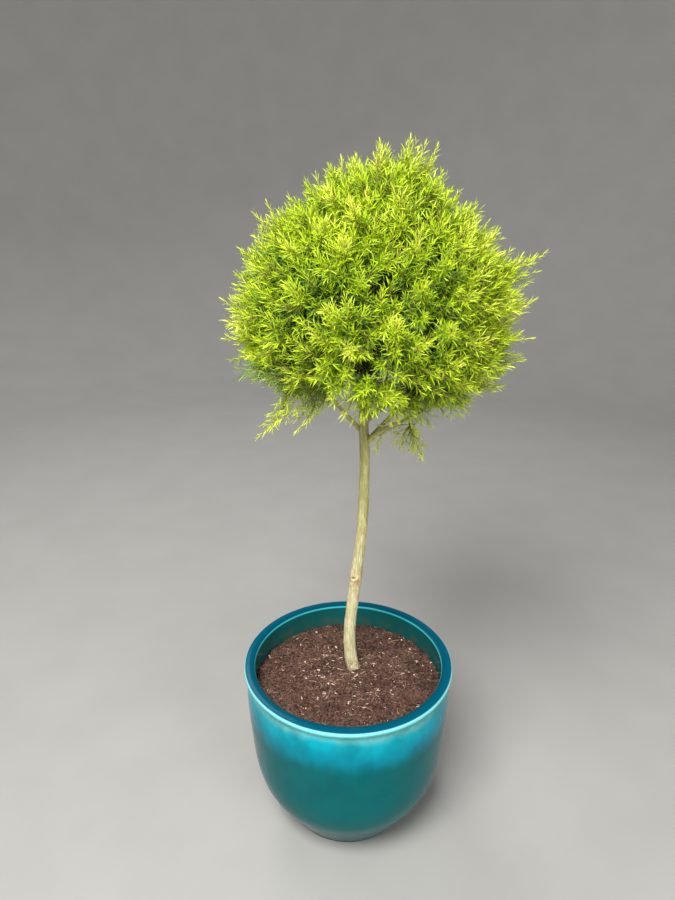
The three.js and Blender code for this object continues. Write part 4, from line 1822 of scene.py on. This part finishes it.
        def radius_at(share: Array, height: Array, angle: Array) -> Array:
            """The radius, stout at the collar and thin beyond the bough's tip.

            Args:
                share: Shares of the length.
                height: Heights.
                angle: Angles round the line.

            Returns:
                The radius at each.
            """
            along = np.clip(share / share_of_bough, 0, 1)
            beyond = np.clip((share - share_of_bough) / (1 - share_of_bough), 0, 1)
            taper = mass.plan.radius + (self.bough_tip_radius - mass.plan.radius) * along
            collar = self.collar * np.exp(-self.collar_fade * along)
            thin = taper + collar - beyond * (self.bough_tip_radius - self.bough_end_radius)
            return thin * (1 + ridges.at(height, angle) / self.bough_relief_radius)

        points, faces = tube(line, 90, 20, radius_at)
        if mass.plan.branch:
            more, rings = self.side_branch(mass)
            faces += [tuple(len(points) + i for i in ring) for ring in rings]
            points = np.concatenate((points, more))
        piece = make_mesh(f"limb_{mass.plan.name}", points, faces, material=bark)
        finish_piece(piece, [f"bough_{mass.plan.name}"])


@dataclass
class Twig:
    """A twig of a mass, that sprigs grow from."""

    line: Line
    end: Array


@dataclass
class Mass:
    """One mass of foliage: its place, its bough and the stem that its twigs leave."""

    plan: BoughPlan
    middle: Array
    bough: Line
    stem: Line
    twigs: list[Twig] = field(default_factory=list)
    wood: Chains = field(default_factory=lambda: Chains("girth", "young"))
    shoots: Chains = field(default_factory=lambda: Chains("along", "tone", "tint"))


@dataclass(frozen=True)
class Habit:
    """How a sprig grows. The number of the first one starts a run of seeded values.

    The lift says how far its end turns up, the leafy part is a length, and the shade is added to
    its tone: painted shade deep in the head where it is below 0, and painted light on sprigs
    that stand out or hang below where it is above 0.
    """

    first: int
    lift: float
    leafy: float
    side_shoots: int
    shade: float = 0.0


@dataclass(frozen=True)
class Layer(Habit):
    """One layer of sprigs, spread evenly over the head.

    The reach is a span of shares of the way to the outline, the scatter how far each sprig strays
    from its even place, and the tuft how far the outline swells and draws in.
    """

    count: int = 0
    reach: Pair = (0.9, 1.0)
    scatter: float = 0.03
    tufted: float = 0.03


# the fifth value, the shade, is painted shade on sprigs deep in the head and painted light on those that
# stand out or hang below
OUTER = Layer(2000, 0.75, 0.085, 6, count=660)
PLUME = Layer(3000, 0.8, 0.135, 9, 0.5, count=200, reach=(0.97, 1.05), scatter=0.12, tufted=0.02)
MIDDLE = Layer(4000, 0.7, 0.07, 5, -1.0, count=400, reach=(0.76, 0.9))
INNER = Layer(6000, 0.5, 0.08, 5, -2.6, count=640, reach=(0.3, 0.74), scatter=0.12)
HANGING = Habit(1500, -0.2, 0.075, 6, 1.2)
LONG_SHOOT = Habit(1000, 0.3, 0.115, 7, 0.3)


@dataclass(frozen=True)
class Foliage:
    """Twigs, sprigs and leaves, grown by the source's rule and carried on finer.

    The gaps are the shares of sprigs missing low down on the right and on the left. No sprig ends
    within the mouth's radius straight below the head's centre. Each companion of a long shoot ends
    so far behind its tip and so far to one side. A sprig's tone is a base tone with so much more
    for its height and for how far out it lies, which is painted light high up and outside and
    painted shade deep inside, and for slow drifts of colour and for luck.
    """

    head: Head
    wood: Wood
    stem_reach: float = 0.68
    bough_clearance: float = 0.062
    bough_handle: float = 0.4
    twig_count: int = 94
    twig_lift: float = 0.3
    twig_reach: float = 0.8
    twig_girth: float = 0.0027
    twig_taper: float = 0.0013
    sprig_girth: float = 0.0012
    sprig_taper: float = 0.0008
    shoot_girth: float = 0.0006
    shoot_taper: float = 0.0003
    fan_drop: float = 0.07
    gaps: Pair = (0.3, 0.66)
    mouth: float = 0.120
    layers: tuple[Layer, ...] = (OUTER, PLUME, MIDDLE, INNER)
    swells: tuple[tuple[Triple, float], ...] = (
        ((17, 5, 9), 0.4),
        ((-6, 16, 11), 2.1),
        ((9, -13, 15), 4.0),
        ((-20, -8, 21), 5.2),
    )
    tone: float = 2.06
    # tone_high and tone_out paint light on sprigs high up and far out, and shade on those deep inside
    tone_high: float = 0.36
    tone_out: float = 1.0
    tone_drift: float = 0.22
    tone_luck: float = 1.4
    low_height: float = 0.93
    height_span: float = 0.42
    inner_share: float = 0.85
    share_span: float = 0.2
    drifts: tuple[tuple[Triple, float], ...] = (
        ((31, 0, 0), 1.3),
        ((0, 27, 19), 0.0),
        ((0, 0, 41), 0.0),
    )
    side_highest: float = 0.7
    side_luck: float = 0.6
    side_turn: float = 2.4
    side_shrink: float = 0.35
    side_length: Pair = (0.02, 0.044)
    side_splay: float = 0.66
    side_rise: float = 0.25
    companions: tuple[Pair, ...] = ((0, 0), (0.024, 0.012), (0.036, -0.014))
    long_shoots: tuple[Triple, ...] = (
        (0.096, 0.026, 1.375),
        (0.120, 0.020, 1.369),
        (0.141, 0.034, 1.366),
        (-0.036, 0.030, 1.334),
        (0.332, 0.022, 1.199),
        (0.316, 0.010, 1.168),
        (0.325, 0.030, 1.118),
        (0.300, -0.050, 1.066),
        (0.284, -0.050, 1.038),
        (-0.228, 0.024, 1.048),
        (-0.204, -0.050, 1.028),
        (-0.186, 0.020, 1.202),
        (-0.164, 0.034, 1.262),
        (-0.140, 0.030, 1.275),
        (-0.192, -0.050, 0.996),
        (-0.151, -0.120, 0.914),
        (-0.088, -0.100, 0.918),
        (0.113, -0.102, 0.918),
        (0.140, -0.075, 0.920),
        (0.164, -0.066, 0.938),
        (0.238, -0.062, 0.978),
        (0.186, -0.110, 0.965),
        (0.060, 0.284, 1.190),
        (-0.034, 0.262, 1.000),
        (0.192, 0.240, 1.076),
    )
    hanging_mass: str = "right_low"
    hanging: tuple[tuple[Triple, Triple], ...] = (
        ((0.116, -0.047, 0.912), (0.050, -0.055, 0.867)),
        ((0.104, -0.040, 0.913), (0.131, -0.060, 0.852)),
        ((0.112, -0.038, 0.911), (0.094, -0.050, 0.870)),
        ((0.107, -0.041, 0.912), (0.116, -0.054, 0.866)),
    )

    def masses(self) -> list[Mass]:
        """Places the masses and draws their boughs and stems, as the source does.

        Returns:
            The masses, lowest tier first.
        """
        trunk, leader = self.wood.trunk_line(), self.wood.leader_line(self.head)
        found = []
        for tier in (LOWER, UPPER, TOP):
            for place, plan in enumerate(tier.boughs):
                bearing = tier.bearing + 360 / len(tier.boughs) * place
                flat = heading(bearing, 0)
                axis = self.head.middle * np.array((1, 1, 0))
                middle = axis + flat * tier.ring + UP * tier.height
                hub = axis + flat * tier.hub_ring + UP * tier.hub_height
                bough = leader
                if tier.parent:
                    parent = trunk if tier.parent == "trunk" else leader
                    bough = self.bough_line(parent, plan, hub)
                outward = unit(middle - self.head.middle)
                foot = bough.at(1.0) + bough.towards(1.0) * self.wood.gap
                tip = self.head.middle + outward * self.head.reach(outward) * self.stem_reach
                found.append(Mass(plan, middle, bough, Line.bezier(foot, hub, tip)))
        return found

    def bough_line(self, parent: Line, plan: BoughPlan, hub: Array) -> Line:
        """A bough's line from its parent to its tip, short of its mass's hub.

        Args:
            parent: The line that it leaves.
            plan: Where and how it leaves.
            hub: What it heads for.

        Returns:
            The line.
        """
        foot = parent.at(parent.height_share(plan.foot))
        start = heading(plan.bearing, plan.rise)
        entry = unit(unit(hub - foot) * 1.25 - start * 0.25)
        tip = hub - entry * self.bough_clearance
        handle = float(np.linalg.norm(tip - foot)) * self.bough_handle
        return Line.bezier(foot, foot + start * handle, tip - entry * handle, tip, samples=40)

    def growth(self, tip: Array, lift: float) -> Array:
        """The direction of growth at a tip: outwards, and up by a lift."""
        away = unit(tip - self.head.middle)
        return unit(away + UP * lift * (0.7 + 0.5 * away[2]))

    def upward(self, tip: Array, lift: float) -> Array:
        """The direction in which the sprigs' ends point, which fans out from low in the head."""
        fan = unit(tip - self.head.middle + UP * self.fan_drop)
        return unit(fan + UP * lift * (0.6 + 0.5 * fan[2]))

    def nearest(self, masses: Sequence[Mass], point: Array) -> Mass:
        """The mass whose middle lies nearest to a point."""
        return min(masses, key=lambda mass: float(np.linalg.norm(mass.middle - point)))

    def spread(self, count: int) -> list[tuple[int, Array]]:
        """Directions spread evenly by the golden angle, each with its number.

        Args:
            count: How many.

        Returns:
            Numbers and unit directions, from the top down.
        """
        ways = []
        for i in range(count):
            rise = 1 - 2 * (i + 0.5) / count
            flat, turn = math.sqrt(1 - rise * rise), i * GOLDEN
            ways.append((i, np.array((flat * math.cos(turn), flat * math.sin(turn), rise))))
        return ways

    def grow_twigs(self, masses: Sequence[Mass]) -> None:
        """Grows the source's twigs from the stems of their masses.

        Args:
            masses: All masses.
        """
        for item, way in self.spread(self.twig_count):
            tip = self.head.middle + way * self.head.reach(way)
            mass = self.nearest(masses, tip)
            end = self.head.middle + (tip - self.head.middle) * self.twig_reach
            start = mass.stem.at(0.35 + 0.6 * chance(item, Purpose.START))
            outward = self.growth(tip, self.twig_lift)
            bend = end - outward * 0.45 * float(np.linalg.norm(end - start))
            line = Line.bezier(start, bend, end)
            mass.twigs.append(Twig(line, end))
            share = np.linspace(0, 1, 12)
            mass.wood.add(line.at(share), girth=self.twig_girth - self.twig_taper * share, young=0)

    def tone_at(self, item: int, tip: Array) -> float:
        """A sprig's tone, brighter towards the top and the outside, with drifts of colour.

        Args:
            item: The sprig's number.
            tip: Where it ends.

        Returns:
            The place in the list of tones, not rounded.
        """
        # height and reach outwards are painted light and shade; drift and luck are the needles' own
        # colours
        high = (tip[2] - self.low_height) / self.height_span
        out = (self.head.share(tip) - self.inner_share) / self.share_span
        drift = sum(math.sin(tip @ wave + phase) for wave, phase in self.drifts)
        luck = chance(item, Purpose.TONE) - 0.5
        weights = (self.tone_high, self.tone_out, self.tone_drift, self.tone_luck)
        return self.tone + float(np.dot(weights, (high, out, drift, luck)))

    def grow_sprig(
        self, mass: Mass, item: int, tip: Array, habit: Habit, start: Array | None = None
    ) -> None:
        """Grows one sprig with its side shoots.

        Args:
            mass: The mass that it belongs to.
            item: The sprig's number, for its seeded values.
            tip: Where it ends.
            habit: How it grows.
            start: Where it leaves the wood, if not on the nearest twig.
        """
        if start is None:
            twig = min(mass.twigs, key=lambda t: float(np.linalg.norm(t.end - tip)))
            start = twig.line.at(lerp(0.35, 1.0, chance(item, Purpose.START)))
        outward = self.upward(tip, habit.lift)
        reach = float(np.linalg.norm(tip - start))
        bend = tip - outward * lerp(0.4, 0.6, chance(item, Purpose.BEND)) * reach
        line = Line.bezier(start, bend, tip, samples=14)
        bare = max(0.0, 1 - habit.leafy / line.length)
        share = np.linspace(0, 1, 8)
        young = (share > bare).astype(float)
        girth = self.sprig_girth - self.sprig_taper * share
        mass.wood.add(line.at(share), girth=girth, young=young)
        along = np.linspace(0, 1, 7)
        colours = {"tone": self.tone_at(item, tip) + habit.shade, "tint": self.tint_at(item, tip)}
        mass.shoots.add(line.at(bare + (1 - bare) * along), along=along, **colours)
        for side in range(habit.side_shoots):
            number = item * 7 + side * 1.37
            step = (side + self.side_luck * chance(number, Purpose.SIDE)) / habit.side_shoots
            root = bare + (1 - bare) * self.side_highest * step
            turn = side * self.side_turn + FULL_TURN * chance(item, Purpose.TURN)
            length = lerp(*self.side_length, chance(number, Purpose.LENGTH))
            length *= 1 - self.side_shrink * step
            small = self.side_shoot(line, root, turn, length)
            short = np.linspace(0, 1, 4)
            girth = self.shoot_girth - self.shoot_taper * short
            mass.wood.add(small.at(short), girth=girth, young=1)
            mass.shoots.add(small.at(short), along=0.1 + 0.9 * short, **colours)

    def side_shoot(self, line: Line, place: float, turn: float, length: float) -> Line:
        """Draws one side shoot of a sprig, which curves back towards its line.

        Args:
            line: The sprig's line.
            place: The share of it at which the shoot leaves.
            turn: The side that it leaves on, in radians.
            length: How long it is.

        Returns:
            Its line.
        """
        root, axis = line.at(place), line.towards(place)
        splay = turned(unit(np.cross(axis, UP) + 1e-6), axis, turn)
        aim = unit(axis + splay * self.side_splay + UP * self.side_rise)
        middle = root + aim * length * 0.5
        end = root + unit(aim + axis * 0.4 + UP * 0.15) * length
        return Line.bezier(root, middle, end, samples=6)

    def tint_at(self, item: int, tip: Array) -> float:
        """Some low sprigs have a paler, greyer tint, most of them on the left.

        Args:
            item: The sprig's number.
            tip: Where it ends.

        Returns:
            The place of the pale tone, or 0 for no tint.
        """
        low_left = tip[0] < -0.08 and tip[2] < 1.02
        share = 0.4 if low_left else 0.08 if tip[2] < 0.99 else 0.0
        return Tone.PALE.step if chance(item, Purpose.DRIFT) < share else 0.0

    def grow_sprigs(self, masses: Sequence[Mass]) -> None:
        """Grows the sprigs that make the outline, and shorter ones in the depth of the head.

        Args:
            masses: All masses.
        """
        for layer in self.layers:
            for number, even in self.spread(layer.count):
                item = layer.first + number
                luck = [chance(item, p) - 0.5 for p in (Purpose.DRIFT, Purpose.RISE, Purpose.BEND)]
                way = unit(even + layer.scatter * np.array(luck))
                share = lerp(*layer.reach, chance(item, Purpose.REACH)) + self.tuft(way) * layer.tufted
                reach = self.head.reach(way) * share
                tip = self.head.middle + way * reach
                below = way[2] < 0 and math.hypot(way[0], way[1]) * reach < self.mouth
                if below or self.head.hollow(tip):
                    continue
                if chance(item, Purpose.GAP) < self.open_share(way):
                    continue
                self.grow_sprig(self.nearest(masses, tip), item, tip, layer)

    def open_share(self, way: Array) -> float:
        """The share of sprigs that is missing in a direction: more low down, and most on the left."""
        low = min(max((-way[2] - 0.2) / 0.5, 0.0), 1.0)
        return low * lerp(self.gaps[0], self.gaps[1], 0.5 - 0.5 * way[0])

    def tuft(self, way: Array) -> float:
        """How far the growth swells out or draws in at a direction, from -1 to 1."""
        return float(np.mean([math.sin(way @ wave + phase) for wave, phase in self.swells]))

    def grow_long_shoots(self, masses: Sequence[Mass]) -> None:
        """Grows the shoots that stand out of the clipped outline, each with close companions.

        Args:
            masses: All masses.
        """
        for number, place in enumerate(self.long_shoots):
            tip = np.array(place)
            mass = self.nearest(masses, tip)
            for companion, (back, aside) in enumerate(self.companions):
                item = LONG_SHOOT.first + number + 100 * companion
                away = unit(tip - self.head.middle)
                drawn = tip - away * back + aside * unit(np.cross(away, UP))
                self.grow_sprig(mass, item, drawn, LONG_SHOOT)
        mass = next(mass for mass in masses if mass.plan.name == self.hanging_mass)
        for number, (start, tip) in enumerate(self.hanging):
            self.grow_sprig(mass, HANGING.first + number, np.array(tip), HANGING, np.array(start))

    def leaf_blade(self) -> Piece:
        """One narrow bowed leaf, one unit long and one wide.

        Returns:
            The shape.
        """
        foot, tip = (0, 0, 0), (0, -0.02, 1)
        broad = [(side * 0.5, 0.05, 0.36) for side in (-1, 1)]
        narrow = [(side * 0.4, 0.045, 0.72) for side in (-1, 1)]
        points = np.array([foot, *broad, *narrow, tip], float)
        return make_mesh("leaf_blade", points, [(0, 1, 2), (2, 1, 3), (2, 3, 4), (4, 3, 5)])

    def build(self, bark: Material) -> None:
        """Grows the head and makes its pieces, mass by mass.

        Args:
            bark: The boughs' material.
        """
        masses = self.masses()
        self.grow_twigs(masses)
        self.grow_sprigs(masses)
        self.grow_long_shoots(masses)
        for mass in masses:
            if mass.plan.name != "top":
                self.wood.bough(mass, bark)
        old = Earth("twig_bark", paint(132, 108, 88), paint(196, 172, 142), 0.8)
        young = Earth("young_stem", paint(180, 138, 84), paint(218, 184, 110), 0.6)
        twigs = twig_tree([old.material(), young.material()])
        leaves, blade = LeafSpiral().tree(LeafSkin().materials()), self.leaf_blade()
        for mass in masses:
            name = mass.plan.name
            wood = twigs.run(mass.wood.carrier(), f"twigs_{name}", Sides=3)
            finish_piece(wood)
            blades = leaves.run(mass.shoots.carrier(), f"leaves_{name}", Leaf=blade)
            finish_piece(blades, [f"foliage_{name}"])
        bpy.data.objects.remove(blade)


@dataclass(frozen=True)
class Lamp:
    """One square soft light, with its power in watts."""

    name: str
    place: Triple
    aim: Triple
    size: float
    power: float

    def build(self) -> None:
        """Adds the light to the scene."""
        light = bpy.data.lights.new(self.name, "AREA")
        light.size, light.energy = self.size, self.power
        lamp = bpy.data.objects.new(self.name, light)
        lamp.location = self.place
        beam = Vector(self.aim) - Vector(self.place)
        lamp.rotation_euler = beam.to_track_quat("-Z", "Y").to_euler()
        bpy.context.scene.collection.objects.link(lamp)


@dataclass(frozen=True)
class Studio:
    """The pale floor, the soft lights and the camera, with its pitch and yaw in degrees."""

    eye: Triple = (0.0002, -1.204, 1.3021)
    pitch: float = 20.8126
    yaw: float = -1.0784
    sensor: float = 36.0
    lens: float = 27.535
    sky: Colour = (0.92, 0.96, 1.0, 1.0)
    sky_strength: float = 0.34
    lamps: tuple[Lamp, ...] = (
        Lamp("overhead", (-0.8, -1.75, 3.25), (0, 0, 0.8), 1.5, 158),
        Lamp("front", (1.9, -2.8, 1.9), (0, 0, 0.7), 1.6, 44),
        Lamp("behind", (-1.6, 2.6, 3.4), (0, 0, 0.9), 1.6, 45),
    )
    pale: Colour = paint(178, 176, 172)
    grey: Colour = paint(168, 166, 162)
    grain: Blotches = Blotches(5, (1, 1, 1), 5, (0.3, 0.7))
    grain_share: float = 0.4
    roughness: float = 0.8
    specular: float = 0.2
    floor_rings: tuple[float, ...] = (0.02, 1.5, 3.3)
    floor_sweep: float = 1.9
    wall_radius: float = 5.2
    wall_top: float = 9.0
    sides: int = 96

    def pale_finish(self) -> Material:
        """The floor's plain pale finish, with faint clouds.

        Returns:
            The material.
        """
        surface = Surface("pale_floor", self.pale, self.roughness, Specular_IOR_Level=self.specular)
        grain = surface.product(surface.mottle(self.grain), self.grain_share)
        surface.paint(surface.blend(grain, self.pale, self.grey))
        return surface.material

    def floor(self) -> None:
        """Makes a broad round floor that sweeps up all round the plant and is no part of it."""
        flat, sweep = self.floor_rings[-1], self.floor_sweep
        rings = [(radius, 0.0) for radius in self.floor_rings]
        for turn in np.linspace(0, math.pi / 2, 17)[1:]:
            rings.append((flat + sweep * math.sin(turn), sweep - sweep * math.cos(turn)))
        rings.append((self.wall_radius, self.wall_top))
        turns = [FULL_TURN * i / self.sides for i in range(self.sides)]
        points = np.array([(r * math.cos(t), r * math.sin(t), z) for r, z in rings for t in turns])
        faces = [face[::-1] for face in tube_faces(len(rings), self.sides)]
        faces.append(tuple(range(self.sides)))
        piece = make_mesh("studio_floor", points, faces, material=self.pale_finish())

    def daylight(self) -> None:
        """Adds the even light from all round."""
        world = bpy.data.worlds.new("soft_daylight")
        world.use_nodes = True
        background = world.node_tree.nodes["Background"]
        background.inputs["Color"].default_value = self.sky
        background.inputs["Strength"].default_value = self.sky_strength
        bpy.context.scene.world = world

    def camera(self) -> None:
        """Adds the camera at the photograph's viewing angle."""
        camera = bpy.data.objects.new("camera", bpy.data.cameras.new("camera"))
        camera.data.sensor_width, camera.data.lens = self.sensor, self.lens
        camera.location = self.eye
        pitch, yaw = math.radians(self.pitch), math.radians(self.yaw)
        flat = math.cos(pitch)
        aim = Vector((math.sin(yaw) * flat, math.cos(yaw) * flat, -math.sin(pitch)))
        camera.rotation_euler = aim.to_track_quat("-Z", "Y").to_euler()
        bpy.context.scene.collection.objects.link(camera)
        bpy.context.scene.camera = camera

    def build(self) -> None:
        """Makes the floor, the lights and the camera."""
        self.floor()
        self.daylight()
        for lamp in self.lamps:
            lamp.build()
        bpy.context.scene.view_settings.view_transform = "Standard"
        self.camera()


def main() -> None:
    """Builds the plant and its studio."""
    logging.basicConfig(level=logging.INFO, format="%(message)s")
    Studio().build()
    Pot().build()
    Soil().build()
    head, wood = Head(), Wood()
    bark = wood.bark()
    wood.stem(head, bark)
    Foliage(head, wood).build(bark)


if __name__ == "__main__":
    main()
